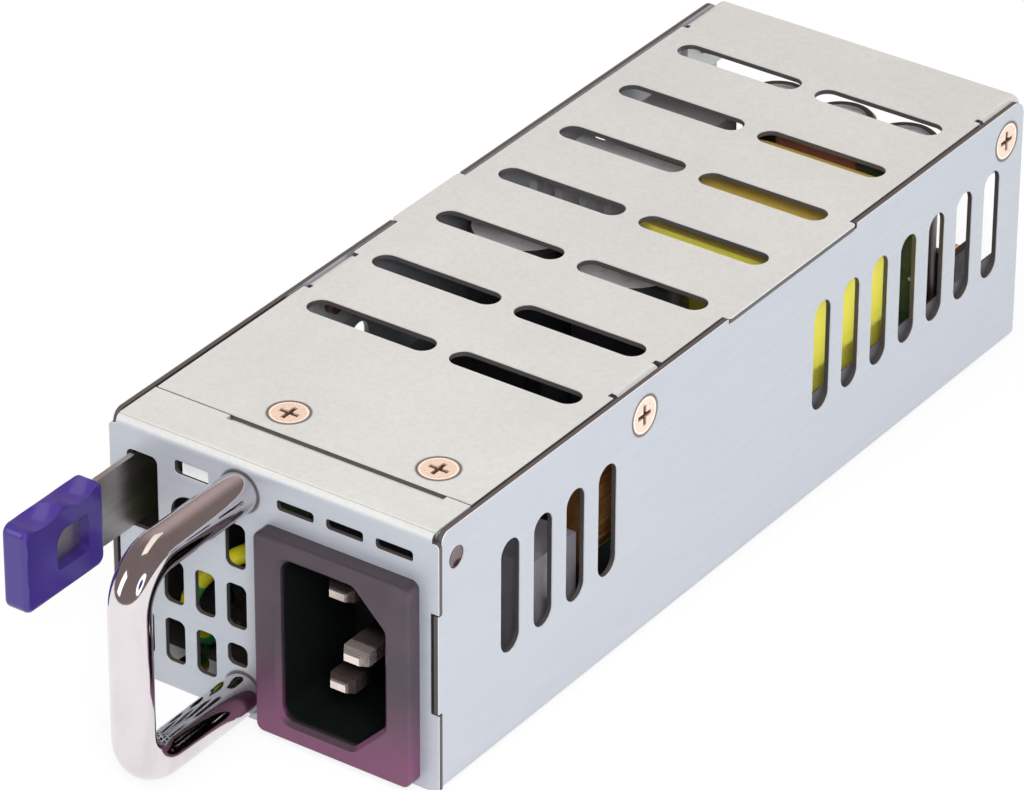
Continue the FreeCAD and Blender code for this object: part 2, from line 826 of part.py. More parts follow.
def front_panel():
    inner_left = sheet + seam_gap
    inner_right = wall_right - seam_gap
    shoulder = height - bend_outer
    plate = prism_y([(0, 0, corner_round), (width, 0, corner_round),
                     (width, shoulder, corner_round), (0, shoulder, corner_round)], 0, sheet)
    top = prism_x([(0, shoulder - sheet, 0), (0, height, bend_outer), (flange_rear, height, 0),
                   (flange_rear, top_under, 0), (sheet, top_under, bend_radius),
                   (sheet, shoulder - sheet, 0)], inner_left, inner_right)
    dip = height - sheet
    tongue = prism_x([(joggle_front - sheet, height, 0), (joggle_front, height, 0),
                      (flange_rear, dip, 0), (flange_rear + tongue_length, dip, 0),
                      (flange_rear + tongue_length, dip - sheet, 0),
                      (flange_rear, dip - sheet, 0), (joggle_front, top_under, 0),
                      (joggle_front - sheet, top_under, 0)], tongue_left, tongue_right)
    valley = block(tongue_left, tongue_right, joggle_front, flange_rear + overrun,
                   top_under - overrun, height + overrun)
    foot = prism_x([(0, 0, bend_outer), (0, foot_flange_root, 0), (sheet, foot_flange_root, 0),
                    (sheet, 2 * sheet, bend_radius), (foot_flange_length, 2 * sheet, 0),
                    (foot_flange_length, sheet, 0), (sheet, sheet, 0), (sheet, 0, 0)],
                   foot_flange_left, foot_flange_right)
    ears = [corner_ear(), mirrored(corner_ear())]
    panel = fused([plate, top.cut(valley)] + ears)
    panel = fused([panel, tongue, foot])
    cutters = small_vents() + [inlet_cutout(), latch_slot()]
    cutters.append(cylinder((round_hole_x, -overrun, round_hole_z), (0, 1, 0),
                            sheet + 2 * overrun, round_hole_radius))
    for i in range(brow_vent_count):
        x = inlet_x - brow_vent_first_inset + i * brow_vent_pitch
        cutters.append(prism_y(slot(x, height - brow_vent_drop,
                                    brow_vent_width, brow_vent_height, brow_vent_round),
                               -overrun, sheet + overrun))
    cutters.append(prism_y(slot(window_x, window_z, window_width, window_height,
                                window_round), -overrun, sheet + overrun))
    notch = prism_y([(width - key_notch_depth, key_tab_bottom - seam_gap, 0),
                     (width + overrun, key_tab_bottom - seam_gap, 0),
                     (width + overrun, key_tab_top + seam_gap, 0),
                     (width - key_notch_depth, key_tab_top + seam_gap, 0)],
                    -overrun, sheet + overrun)
    cutters += [notch, mirrored(notch)]
    for x in cover_screw_x:
        cutters.append(countersink((x, cover_screw_y, height), (0, 0, -1), screw_play))
    for x in (0, wall_right - sheet):
        cutters.append(cylinder((x - overrun, corner_ear_y, panel_rivet_height), (1, 0, 0),
                                2 * sheet + 2 * overrun, panel_rivet_radius))
    for z in (handle_low_z, handle_high_z):
        cutters.append(cylinder((handle_x, -overrun, z), (0, 1, 0), sheet + 2 * overrun,
                                handle_screw_radius + screw_play))
    cutters.append(floor_rivet_hole())
    return panel.cut(cutters)


def floor_rivet_hole():
    x = (foot_flange_left + foot_flange_right) / 2
    y = (sheet + foot_flange_length) / 2
    return cylinder((x, y, -overrun), (0, 0, 1), 2 * sheet + 2 * overrun, panel_rivet_radius)


def panel_rivets():
    """Rivets that hold the panel's corner ears to the walls and its foot to the floor."""
    shank = cylinder((wall_right - sheet, corner_ear_y, panel_rivet_height), (1, 0, 0),
                     2 * sheet - panel_rivet_sink, panel_rivet_radius)
    inner = cylinder((wall_right - sheet - panel_rivet_head, corner_ear_y, panel_rivet_height),
                     (1, 0, 0), panel_rivet_head, panel_rivet_head_radius)
    middle = wall_right + sheet - panel_rivet_sink + panel_rivet_dish - panel_rivet_dish_depth
    dish = Part.makeSphere(panel_rivet_dish, Vector(middle, corner_ear_y, panel_rivet_height))
    side = shank.fuse(inner).cut(dish)
    x = (foot_flange_left + foot_flange_right) / 2
    y = (sheet + foot_flange_length) / 2
    foot = cylinder((x, y, 0), (0, 0, 1), 2 * sheet, panel_rivet_radius)
    foot = foot.fuse(cylinder((x, y, 2 * sheet), (0, 0, 1), panel_rivet_head,
                              panel_rivet_head_radius))
    return group([side, mirrored(side), foot])


def cover_screws():
    return group([flat_screw((x, cover_screw_y, height), (0, 0, -1), cover_screw_length)
                  for x in cover_screw_x])


def side_screws():
    screws = []
    for y in side_screw_positions():
        right = flat_screw((width, y, side_screw_z), (-1, 0, 0), side_screw_length)
        screws += [right, mirrored(right)]
    return group(screws)


# ---- Handle -----------------------------------------------------------------------------------
def handle():
    """Bail bent from round rod, with a tapped hole up each end."""
    points = [(handle_x, 0, handle_high_z), (handle_x, -handle_reach, handle_high_z),
              (handle_x, -handle_reach, handle_low_z), (handle_x, 0, handle_low_z)]
    rod = path_sweep(points, handle_rod_radius, [handle_bend, handle_bend])
    holes = [cylinder((handle_x, 0, z), (0, -1, 0), handle_screw_depth, handle_screw_radius)
             for z in (handle_low_z, handle_high_z)]
    return rod.cut(holes)


def handle_screws():
    return group([pan_screw((handle_x, sheet, z), (0, -1, 0),
                            sheet + handle_screw_depth - handle_screw_short, pan_head_radius,
                            handle_screw_radius)
                  for z in (handle_low_z, handle_high_z)])


# ---- Release latch ----------------------------------------------------------------------------
def latch_rivet_heights():
    return (strip_bottom + latch_rivet_inset, strip_top - latch_rivet_inset)


def latch_strip():
    """Spring steel strip: foot by the wall, joggle, long arm, and a catch bent from its edge."""
    foot_rear = latch_root_y + latch_foot_back
    foot_front = latch_root_y - latch_foot_front
    arm_rear = foot_front - latch_joggle
    t = strip_thickness
    plan = [(latch_foot_x, foot_rear, 0), (latch_foot_x, foot_front, strip_bend),
            (strip_x, arm_rear, strip_bend + t), (strip_x, -strip_front_reach, 0),
            (strip_right, -strip_front_reach, 0), (strip_right, arm_rear, strip_bend),
            (latch_foot_x + t, foot_front, strip_bend + t), (latch_foot_x + t, foot_rear, 0)]
    strip = prism_z(plan, strip_bottom, strip_top)
    rounding = prism_x(rectangle(-strip_front_reach, foot_rear, strip_bottom, strip_top,
                                 strip_corner), 0, strip_right + overrun)
    strip = strip.common(rounding)
    root = strip_bottom + catch_root
    section = [(-catch_reach, strip_bottom, 0), (strip_right, strip_bottom, t + catch_bend),
               (strip_right, root, 0), (strip_x, root, 0),
               (strip_x, strip_bottom + t, catch_bend), (-catch_reach, strip_bottom + t, 0)]
    ear = prism_y(section, catch_front_y, catch_rear_y)
    ramp = prism_z([(strip_right + overrun, catch_front_y, 0),
                    (-catch_reach, catch_front_y, catch_bend),
                    (-catch_reach, catch_front_y + catch_nose, catch_bend),
                    (sheet, catch_rear_y, catch_rear_round),
                    (strip_right + overrun, catch_rear_y, 0)],
                   strip_bottom - overrun, root + overrun)
    edge_relief = block(strip_x - overrun, strip_right + overrun, catch_front_y, catch_rear_y,
                        strip_bottom - overrun, root - overrun)
    strip = fused([strip.cut(edge_relief), ear.common(ramp)])
    holes = [cylinder((0, latch_root_y, z), (1, 0, 0), strip_right,
                      latch_rivet_radius + latch_play)
             for z in latch_rivet_heights()]
    return strip.cut(holes)


def latch_rivets():
    """Shouldered rivets of the left wall on which the strip's foot sits with a little play."""
    inner_face = latch_foot_x + strip_thickness + latch_play
    rivets = []
    for z in latch_rivet_heights():
        shank = cylinder((0, latch_root_y, z), (1, 0, 0), inner_face, latch_rivet_radius)
        head = cylinder((inner_face, latch_root_y, z), (1, 0, 0), latch_rivet_head,
                        latch_rivet_head_radius)
        rivets.append(shank.fuse(head))
    return group(rivets)


def latch_grip():
    """Moulded grip: round cornered block with finger dimples and a window down to the strip."""
    y0 = -grip_rear_reach - grip_length
    y1 = -grip_rear_reach
    x0 = strip_middle_x - grip_thickness / 2
    x1 = strip_middle_x + grip_thickness / 2
    z0 = strip_bottom - grip_over
    z1 = z0 + grip_height
    body = prism_x(rectangle(y0, y1, z0, z1, grip_corner), x0, x1)
    rims = [edge for edge in body.Edges
            if abs(edge.BoundBox.XLength) < coincident]
    body = body.makeFillet(grip_edge, rims)
    middle_y = (y0 + y1) / 2
    middle_z = (z0 + z1) / 2
    corner = (dimple_radius - dimple_depth) / math.sqrt(2)
    hollows = []
    for side in (-1, 1):
        y = middle_y + side * scoop_spread
        hollows.append(Part.makeSphere(scoop_radius,
                                       Vector(x1, y, z1 + scoop_radius - scoop_depth)))
        hollows.append(Part.makeSphere(scoop_radius,
                                       Vector(strip_middle_x, y,
                                              z0 - scoop_radius + under_scoop_depth)))
        hollows.append(Part.makeSphere(dimple_radius,
                                       Vector(x1 + corner, y0 - corner,
                                              middle_z + side * dimple_spread)))
    low = z0 + grip_window_low
    high = z0 + grip_window_high
    window = [(-grip_window_front, low, grip_window_round),
              (-grip_window_rear, low, grip_window_round),
              (-grip_window_rear, high, grip_window_round),
              (-grip_window_front, high, grip_window_corner)]
    pockets = prism_x(window, x0 - overrun, x1 + overrun)
    core = block(strip_x, strip_right, -strip_front_reach, y1 + overrun, strip_bottom, strip_top)
    rounded = rectangle(-strip_front_reach, 0, strip_bottom, strip_top, strip_corner)
    corners = core.cut(prism_x(rounded, strip_x, strip_right))
    body = body.cut(hollows + [pockets])
    return body.cut(core.cut(corners))


# ---- Mains inlet ------------------------------------------------------------------------------
def socket_outline():
    """IEC 60320 C14 cavity on its side: two bevelled corners on the earth blade's side."""
    x0, x1 = inlet_x - socket_width / 2, inlet_x + socket_width / 2
    z0, z1 = inlet_z - socket_height / 2, inlet_z + socket_height / 2
    return [(x0, z0, socket_flat_round), (x1 - socket_bevel, z0, socket_round),
            (x1, z0 + socket_bevel, socket_round), (x1, z1 - socket_bevel, socket_round),
            (x1 - socket_bevel, z1, socket_round), (x0, z1, socket_flat_round)]


def inlet_body():
    half_w = socket_width / 2 + inlet_wall
    half_h = socket_height / 2 + inlet_wall
    bezel = prism_y(slot(inlet_x, inlet_z, bezel_width, bezel_height, bezel_corner),
                    inlet_rim_y, 0)
    rim = [edge for edge in bezel.Edges
           if edge.BoundBox.YLength < coincident and abs(edge.BoundBox.YMin - inlet_rim_y) < coincident]
    bezel = bezel.makeFillet(bezel_edge, rim)
    shell = prism_y(slot(inlet_x, inlet_z, 2 * half_w, 2 * half_h, shell_corner), 0, inlet_back_y)
    snaps = []
    for side in (-1, 1):
        root = inlet_z + side * half_h
        tip = root + side * snap_height
        snaps.append(prism_x([(sheet, root - side, 0), (sheet, tip, 0),
                              (sheet + snap_length, root, 0),
                              (sheet + snap_length, root - side, 0)],
                             inlet_x - snap_width / 2, inlet_x + snap_width / 2))
    body = fused([bezel, shell] + snaps)
    mouth = outline(socket_outline(), lambda p: Vector(p.x, inlet_rim_y, p.y))
    cavity = mouth.extrude(Vector(0, socket_depth, 0))
    body = body.cut(cavity)
    brim = [edge for edge in body.Edges
            if edge.BoundBox.YLength < coincident and abs(edge.BoundBox.YMin - inlet_rim_y) < coincident
            and abs(edge.CenterOfMass.x - inlet_x) < socket_width / 2 + mouth_margin
            and abs(edge.CenterOfMass.z - inlet_z) < socket_height / 2 + mouth_margin]
    body = body.makeChamfer(socket_lead_in, brim)
    slots = []
    for x, z, _ in blade_places():
        slots.append(block(x - blade_width / 2, x + blade_width / 2, inlet_floor_y - overrun,
                           inlet_back_y + overrun, z - blade_thickness / 2,
                           z + blade_thickness / 2))
    return body.cut(slots)


def blade_places():
    """Centre and tip depth of line, neutral and earth blades."""
    live_x = inlet_x - blade_row_offset
    earth_x = inlet_x + blade_row_offset
    half = blade_spacing / 2
    return [(live_x, inlet_z + half, live_tip_below_rim),
            (live_x, inlet_z - half, live_tip_below_rim),
            (earth_x, inlet_z, earth_tip_below_rim)]


def inlet_blade(index):
    """Contact blade with a tapered tip, and its solder tab behind the inlet."""
    x, z, below_rim = blade_places()[index]
    tip = inlet_rim_y + below_rim
    root = tip + blade_nose_length
    blade = block(x - blade_width / 2, x + blade_width / 2, root, inlet_back_y,
                  z - blade_thickness / 2, z + blade_thickness / 2)
    ends = []
    for y, across, thick in ((root, blade_width, blade_thickness),
                             (tip, blade_nose_width, blade_nose_thickness)):
        corners = slot(x, z, across, thick, 0)
        loop = [Vector(u, y, v) for u, v, _ in corners]
        ends.append(Part.makePolygon(loop + [loop[0]]))
    nose = Part.makeLoft(ends, True, True)
    tab = block(x - blade_width / 2, x + blade_width / 2, inlet_back_y,
                inlet_back_y + tab_length, z - tab_thickness / 2, z + tab_thickness / 2)
    return fused([blade, nose, tab])


# ---- Earth lead -------------------------------------------------------------------------------
def earth_wire_route():
    """From the top of the inlet's earth tab, round the inlet's side, down to the ring barrel."""
    x, z, _ = blade_places()[2]
    start = (x + blade_width / 2, inlet_back_y + tab_length / 2, z + tab_thickness / 2 +
             earth_wire_radius)
    end = (earth_point_x, earth_point_y - ring_outer_radius,
           sheet + ring_thickness + earth_wire_radius)
    beside = [(inlet_x + x, y, z) for x, y, z in earth_wire_by_inlet]
    down = [(earth_point_x + x, y, z) for x, y, z in earth_wire_by_ring]
    return [start] + beside + down + [end]


def earth_wire():
    """Green and yellow lead, each bend as large as its two runs allow."""
    points = earth_wire_route()
    vectors = [Vector(*p) for p in points]
    bends = []
    for i in range(1, len(vectors) - 1):
        back = vectors[i - 1] - vectors[i]
        ahead = vectors[i + 1] - vectors[i]
        half = back.getAngle(ahead) / 2
        bends.append(bend_share * min(back.Length, ahead.Length) * math.tan(half))
    return path_sweep(points, earth_wire_radius, bends)


def earth_ring():
    ring = cylinder((earth_point_x, earth_point_y, sheet), (0, 0, 1), ring_thickness,
                    ring_outer_radius)
    barrel = block(earth_point_x - earth_wire_radius, earth_point_x + earth_wire_radius,
                   earth_point_y - ring_outer_radius - barrel_length, earth_point_y, sheet,
                   sheet + ring_thickness)
    hole = cylinder((earth_point_x, earth_point_y, 0), (0, 0, 1),
                    sheet + ring_thickness + overrun, screw_radius + screw_play)
    return fused([ring, barrel]).cut(hole)


def earth_screw():
    return pan_screw((earth_point_x, earth_point_y, sheet + ring_thickness), (0, 0, -1),
                     ring_thickness + sheet)


# ---- Status light -----------------------------------------------------------------------------
def light_pipe():
    """White bar in the panel's window, with a flange that rests behind the panel."""
    x0 = window_x - light_pipe_width / 2 + light_pipe_shift
    x1 = x0 + light_pipe_width
    z0 = window_z - light_pipe_height / 2
    z1 = z0 + light_pipe_height
    bar = block(x0, x1, light_pipe_sink, light_board_y - led_depth, z0, z1)
    flange = block(x0, x1 + light_pipe_flange, sheet, sheet + light_pipe_flange_thickness,
                   z0 - light_pipe_flange, z1 + light_pipe_flange)
    return fused([bar, flange])


def status_led():
    x = window_x + light_pipe_shift
    return block(x - led_width / 2, x + led_width / 2, light_board_y - led_depth, light_board_y,
                 window_z - led_height / 2, window_z + led_height / 2)


def light_board():
    x0 = window_x - light_board_left
    return block(x0, x0 + light_board_width, light_board_y,
                 light_board_y + light_board_thickness, board_top, window_z + light_board_over)


# ---- Main board -------------------------------------------------------------------------------
def standoff_positions():
    left, right = standoff_inset_x, width - standoff_inset_x
    spots = [(x, y) for x in (left, right)
             for y in (standoff_front_y, depth - standoff_middle_inset)]
    return spots + [(left, depth - standoff_rear_left_inset),
                    (right, depth - standoff_rear_right_inset)]


def insulating_film():
    """One sheet on the floor, folded up both walls; the fold is higher beside the power stage."""
    front, rear = film_front_y, depth - film_rear_inset
    left, right = sheet, wall_right
    inner = bend_radius + film
    sheet_up = prism_y([(left, sheet + film_high_fold, 0), (left, sheet, bend_radius),
                        (right, sheet, bend_radius), (right, sheet + film_high_fold, 0),
                        (right - film, sheet + film_high_fold, 0),
                        (right - film, sheet + film, inner),
                        (left + film, sheet + film, inner),
                        (left + film, sheet + film_high_fold, 0)], front, rear)
    step = block(0, width, front - overrun, film_step_y, sheet + film_low_fold,
                 sheet + film_high_fold + overrun)
    holes = [cylinder((x, y, 0), (0, 0, 1), board_bottom, standoff_radius + film_hole_play)
             for x, y in standoff_positions()]
    return sheet_up.cut([step] + holes)


def main_board():
    board = prism_z(rectangle(board_left, board_right, board_front_y, board_rear,
                              board_corner),
                    board_bottom, board_top)
    holes = [cylinder((x, y, 0), (0, 0, 1), board_top + overrun, screw_radius + screw_play)
             for x, y in standoff_positions()]
    return board.cut(holes)


def board_standoffs():
    posts = []
    for x, y in standoff_positions():
        post = cylinder((x, y, sheet), (0, 0, 1), board_lift, standoff_radius)
        shank = cylinder((x, y, 0), (0, 0, 1), sheet, standoff_shank_radius)
        bore = cylinder((x, y, board_bottom - standoff_bore), (0, 0, 1),
                        standoff_bore + overrun, screw_radius)
        posts.append(post.fuse(shank).cut(bore))
    return group(posts)


def board_screws():
    return group([pan_screw((x, y, board_top), (0, 0, -1),
                            board_thickness + board_screw_bite)
                  for x, y in standoff_positions()])


# ---- Parts on the main board ------------------------------------------------------------------
def fuse():
    """Body and end caps, lying across the board on two clips."""
    z = board_top + fuse_radius + fuse_lift
    x0 = fuse_x - fuse_length / 2
    barrel = cylinder((x0, fuse_y, z), (1, 0, 0), fuse_length,
                      fuse_radius - fuse_cap_wall)
    caps = [cylinder((x, fuse_y, z), (1, 0, 0), fuse_cap_length, fuse_radius)
            for x in (x0, x0 + fuse_length - fuse_cap_length)]
    return fused([barrel] + caps)


def fuse_clips():
    z = board_top + fuse_radius + fuse_lift
    clips = []
    half = fuse_length / 2
    outer = fuse_radius + clip_wall
    grip = fuse_radius - clip_lip
    for x in (fuse_x - half + clip_inset, fuse_x + half - fuse_cap_length + clip_inset):
        clip = block(x, x + clip_width, fuse_y - outer, fuse_y + outer, board_top,
                     z + clip_rise)
        bore = cylinder((x - overrun, fuse_y, z), (1, 0, 0), clip_width + 2 * overrun,
                        fuse_radius)
        mouth = block(x - overrun, x + clip_width + overrun, fuse_y - grip, fuse_y + grip,
                      z, z + clip_rise + overrun)
        clips.append(clip.cut([bore, mouth]))
    return group(clips)


def varistor():
    centre = (varistor_x, varistor_y - varistor_thickness / 2,
              board_top + varistor_radius + varistor_lift)
    disc = cylinder(centre, (0, 1, 0), varistor_thickness, varistor_radius)
    disc = disc.makeChamfer(varistor_bevel, [e for e in disc.Edges if e.Closed])
    legs = [cylinder((varistor_x + side * varistor_leg_spread, varistor_y, board_top),
                     (0, 0, 1), varistor_leg_height, leg_radius) for side in (-1, 1)]
    return fused([disc] + legs)


def x_capacitor():
    x1 = width - x_cap_from_right
    return prism_x(rectangle(x_cap_y, x_cap_y + x_cap_width, board_top,
                             board_top + x_cap_height, moulded_round), x1 - x_cap_length, x1)


def choke_centre():
    z = (board_top + choke_base_height + choke_wire + choke_outer_radius +
         choke_winding_play)
    return Vector(width - choke_from_right, choke_y, z)


def ring_solid(outer, inner, half_width, centre):
    """Ring about the y axis."""
    base = centre - Vector(0, half_width, 0)
    disc = Part.makeCylinder(outer, 2 * half_width, base, Vector(0, 1, 0))
    hole = Part.makeCylinder(inner, 2 * (half_width + overrun), base - Vector(0, overrun, 0),
                             Vector(0, 1, 0))
    return disc.cut(hole)


def choke_core():
    return ring_solid(choke_outer_radius, choke_inner_radius, choke_core_width / 2,
                      choke_centre())


def choke_winding(side):
    """Wire wound round one half of the core, as one ribbed sleeve."""
    centre = choke_centre()
    ring = ring_solid(choke_outer_radius + choke_wire, choke_inner_radius - choke_wire,
                      choke_core_width / 2 + choke_wire, centre)
    half = math.radians(choke_winding_half_angle)
    far = 2 * (choke_outer_radius + choke_wire)
    reach_x, reach_z = side * far * math.cos(half), far * math.sin(half)
    deep = choke_core_width / 2 + 2 * choke_wire
    wedge = prism_y([(centre.x, centre.z, 0), (centre.x + reach_x, centre.z + reach_z, 0),
                     (centre.x + side * far * 2, centre.z, 0),
                     (centre.x + reach_x, centre.z - reach_z, 0)],
                    centre.y - deep, centre.y + deep)
    grooves = []
    radius = choke_outer_radius + choke_wire
    for i in range(choke_turns):
        angle = -half + (i + 0.5) * 2 * half / choke_turns
        middle = centre + Vector(side * radius * math.cos(angle), -deep,
                                 radius * math.sin(angle))
        grooves.append(Part.makeCylinder(choke_groove, 2 * deep, middle, Vector(0, 1, 0)))
    return ring.common(wedge).cut([choke_core()] + grooves)


def choke_base():
    centre = choke_centre()
    half_l, half_w, half_p = choke_base_length / 2, choke_base_width / 2, choke_post_width / 2
    foot = block(centre.x - half_l, centre.x + half_l, centre.y - half_w, centre.y + half_w,
                 board_top, board_top + choke_base_height)
    post = block(centre.x - half_p, centre.x + half_p, centre.y - choke_core_width / 2,
                 centre.y + choke_core_width / 2, board_top,
                 centre.z - choke_outer_radius + choke_post_rise)
    bed = cylinder(tuple(centre - Vector(0, half_w, 0)), (0, 1, 0), choke_base_width,
                   choke_outer_radius)
    return fused([foot, post]).cut(bed)


def relay():
    return prism_z(slot(relay_x, relay_y, relay_length, relay_width, moulded_round), board_top,
                   board_top + relay_height)


def bridge_rectifier():
    """Flat in-line package standing on edge, with a mounting hole."""
    y0 = depth - bridge_rear_inset
    low, high = board_top + bridge_lift, board_top + bridge_height
    left, right = bridge_x - bridge_length / 2, bridge_x + bridge_length / 2
    body = prism_y([(left, low, 0), (right, low, 0), (right, high, 0),
                    (left + bridge_bevel, high, 0), (left, high - bridge_bevel, 0)],
                   y0, y0 + bridge_thickness)
    body = body.cut(cylinder((bridge_x, y0 - overrun, high - bridge_hole_drop), (0, 1, 0),
                             bridge_thickness + 2 * overrun, bridge_hole_radius))
    half = flat_leg / 2
    middle = y0 + bridge_thickness / 2
    first = bridge_x - bridge_leg_pitch * (bridge_leg_count - 1) / 2
    legs = [block(x - half, x + half, middle - half, middle + half, board_top, low + half)
            for x in [first + i * bridge_leg_pitch for i in range(bridge_leg_count)]]
    return fused([body] + legs)


def can(x, y, radius, lip_width, top):
    """Electrolytic capacitor: sleeved can with a beaded foot and a scored top."""
    base = board_top
    bead = base + bead_middle
    lip = radius - lip_width
    profile = [(0, base), (radius - sleeve, base), (radius - sleeve, base + can_foot),
               (radius, base + can_foot), (radius, bead - bead_half),
               (radius - bead_depth, bead), (radius, bead + bead_half),
               (radius, top - can_edge), (radius - can_edge, top), (lip, top),
               (lip, top - can_recess), (0, top - can_recess)]
    points = [Vector(x + r, y, z) for r, z in profile]
    wire = Part.makePolygon(points + [points[0]])
    solid = Part.Face(wire).revolve(Vector(x, y, 0), Vector(0, 0, 1), 360)
    scores = []
    reach = radius * score_share
    for angle in score_angles:
        score = block(-reach, reach, -score_width / 2, score_width / 2,
                      top - can_recess - score_depth, top)
        score.rotate(Vector(0, 0, 0), Vector(0, 0, 1), angle)
        score.translate(Vector(x, y, 0))
        scores.append(score)
    return solid.cut(scores)


def bulk_capacitor(index):
    return can(bulk_cap_first_x + index * bulk_cap_pitch, depth - bulk_cap_rear_inset,
               bulk_cap_radius, bulk_cap_lip, tall_top)


def output_capacitors():
    return group([can(output_cap_first_x + i * output_cap_pitch, depth - output_cap_rear_inset,
                      output_cap_radius, output_cap_lip, tall_top)
                  for i in range(output_cap_count)])


def heatsink():
    """Extruded fins that point to the front from an upright base plate."""
    y1 = depth - heatsink_rear_inset
    y0 = y1 - heatsink_base
    bars = [block(heatsink_left, heatsink_right, y0, y1, board_top, tall_top)]
    pitch = (heatsink_right - heatsink_left - heatsink_fin) / (heatsink_fin_count - 1)
    for i in range(heatsink_fin_count):
        x = heatsink_left + i * pitch
        bars.append(block(x, x + heatsink_fin, y0 - heatsink_fin_depth, y0, board_top,
                          tall_top))
    hole_z = board_top + transistor_height - transistor_hole_drop
    holes = [cylinder((x, y0 - overrun, hole_z), (0, 1, 0), heatsink_base + 2 * overrun,
                      transistor_screw_radius + transistor_screw_play)
             for x in transistor_places()]
    return fused(bars).cut(holes)


def transistor_places():
    """Side by side across the heatsink's base plate."""
    half = transistor_width / 2
    return (heatsink_left + half, heatsink_right - half)


def transistors():
    """TO-220 packages on the back of the heatsink's base plate."""
    y0 = depth - heatsink_rear_inset
    bodies = []
    for x in transistor_places():
        z0 = board_top + transistor_lift
        half = transistor_width / 2
        tab = block(x - half, x + half, y0, y0 + transistor_tab, z0,
                    board_top + transistor_height + transistor_tab_over)
        body = block(x - half, x + half, y0, y0 + transistor_thickness, z0,
                     board_top + transistor_split)
        hole = cylinder((x, y0 - overrun, board_top + transistor_height - transistor_hole_drop),
                        (0, 1, 0), transistor_tab + 2 * overrun, transistor_hole_radius)
        leg_y = y0 + transistor_leg_y
        legs = []
        for step in (-1, 0, 1):
            leg_x = x + step * transistor_leg_pitch
            legs.append(block(leg_x - transistor_leg / 2, leg_x + transistor_leg / 2, leg_y,
                              leg_y + transistor_leg, board_top, z0 + overrun))
        bodies.append(fused([tab.cut(hole), body] + legs))
    return group(bodies)


def transistor_screws():
    y = depth - heatsink_rear_inset + transistor_tab
    z = board_top + transistor_height - transistor_hole_drop
    return group([pan_screw((x, y, z), (0, -1, 0), transistor_tab + heatsink_base,
                            transistor_screw_head, transistor_screw_radius)
                  for x in transistor_places()])


def pfc_choke():
    """Boxed choke wound in grey tape, with its ferrite showing at both ends."""
    y1 = depth - pfc_choke_rear_inset
    y0 = y1 - pfc_choke_length
    right = output_cap_first_x - pfc_choke_gap
    return prism_z(rectangle(pfc_choke_left, right, y0, y1, pfc_choke_round),
                   board_top, tall_top - pfc_choke_drop)


def transformer_box():
    y0 = depth - transformer_rear_inset - transformer_length / 2
    return (transformer_left, transformer_left + transformer_width,
            y0, y0 + transformer_length)


def transformer_core():
    """Two ferrite plates and a round centre leg."""
    x0, x1, y0, y1 = transformer_box()
    m = tape_margin
    low = board_top + bobbin_flange
    high = tall_top + transformer_over - tape_margin
    plan = rectangle(x0 + m, x1 - m, y0 + m, y1 - m, transformer_round)
    plates = [prism_z(plan, low, low + ferrite_plate), prism_z(plan, high - ferrite_plate, high)]
    leg = cylinder(((x0 + x1) / 2, (y0 + y1) / 2, low), (0, 0, 1), high - low,
                   ferrite_leg_radius)
    return fused(plates + [leg])


def transformer_winding():
    """Wound coil between the plates, around the centre leg."""
    x0, x1, y0, y1 = transformer_box()
    m = tape_margin
    low = board_top + bobbin_flange + ferrite_plate
    high = tall_top + transformer_over - tape_margin - ferrite_plate
    coil = prism_z(rectangle(x0 + m, x1 - m, y0 + m, y1 - m, transformer_round), low, high)
    return coil.cut(cylinder(((x0 + x1) / 2, (y0 + y1) / 2, low - overrun), (0, 0, 1),
                             high - low + 2 * overrun, ferrite_leg_radius))


def transformer_tape():
    """Yellow tape over the top and down the four sides."""
    x0, x1, y0, y1 = transformer_box()
    m = tape_margin
    low = board_top + bobbin_flange + tape_lift
    high = tall_top + transformer_over
    outer = prism_z(rectangle(x0, x1, y0, y1, transformer_round + m), low, high)
    inner = prism_z(rectangle(x0 + m, x1 - m, y0 + m, y1 - m, transformer_round),
                    low - overrun, high - m)
    return outer.cut(inner)


def transformer_bobbin():
    """Pin flange that the core stands on."""
    x0, x1, y0, y1 = transformer_box()
    i = bobbin_inset
    return prism_z(rectangle(x0 + i, x1 - i, y0 + i, y1 - i, i), board_top,
                   board_top + bobbin_flange)


def output_inductor():
    y1 = depth - inductor_rear_inset
    x1 = control_board_face()[0] - inductor_gap
    return prism_z(rectangle(x1 - inductor_length, x1,
                             y1 - inductor_width, y1, inductor_round), board_top,
                   tall_top + inductor_over)


def control_board_face():
    """Front face of the upright control board and its two sides."""
    x1 = width - control_board_from_right
    y0 = depth - control_board_rear_inset
    return x1 - control_board_width, x1, y0


def control_board():
    x0, x1, y0 = control_board_face()
    return block(x0, x1, y0, y0 + control_board_thickness, board_top,
                 tall_top + control_board_over)


def control_board_parts():
    """Small film capacitors and coils on the front of the control board."""
    x0, _, y0 = control_board_face()
    parts = []
    for across, up, size_x, size_z, deep in control_board_part_sizes:
        parts.append(prism_y(slot(x0 + across, board_top + up, size_x, size_z, moulded_round),
                             y0 - deep, y0))
    return group(parts)


# ---- Output connector -------------------------------------------------------------------------
def connector_box():
    return connector_left, width - connector_right_inset, board_rear - connector_length


def output_connector():
    """Black housing open to the rear, with a wall behind the contacts."""
    x0, x1, y0 = connector_box()
    body = block(x0, x1, y0, board_rear, board_top, board_top + connector_height)
    wall = connector_wall
    mouth = block(x0 + wall, x1 - wall, y0 + wall, board_rear + overrun,
                  board_top + connector_floor, board_top + connector_height + overrun)
    return body.cut(mouth)


def power_blade_places():
    x1 = width - connector_right_inset - power_blade_first_inset
    return [x1 - i * power_blade_pitch for i in range(power_blade_count)]


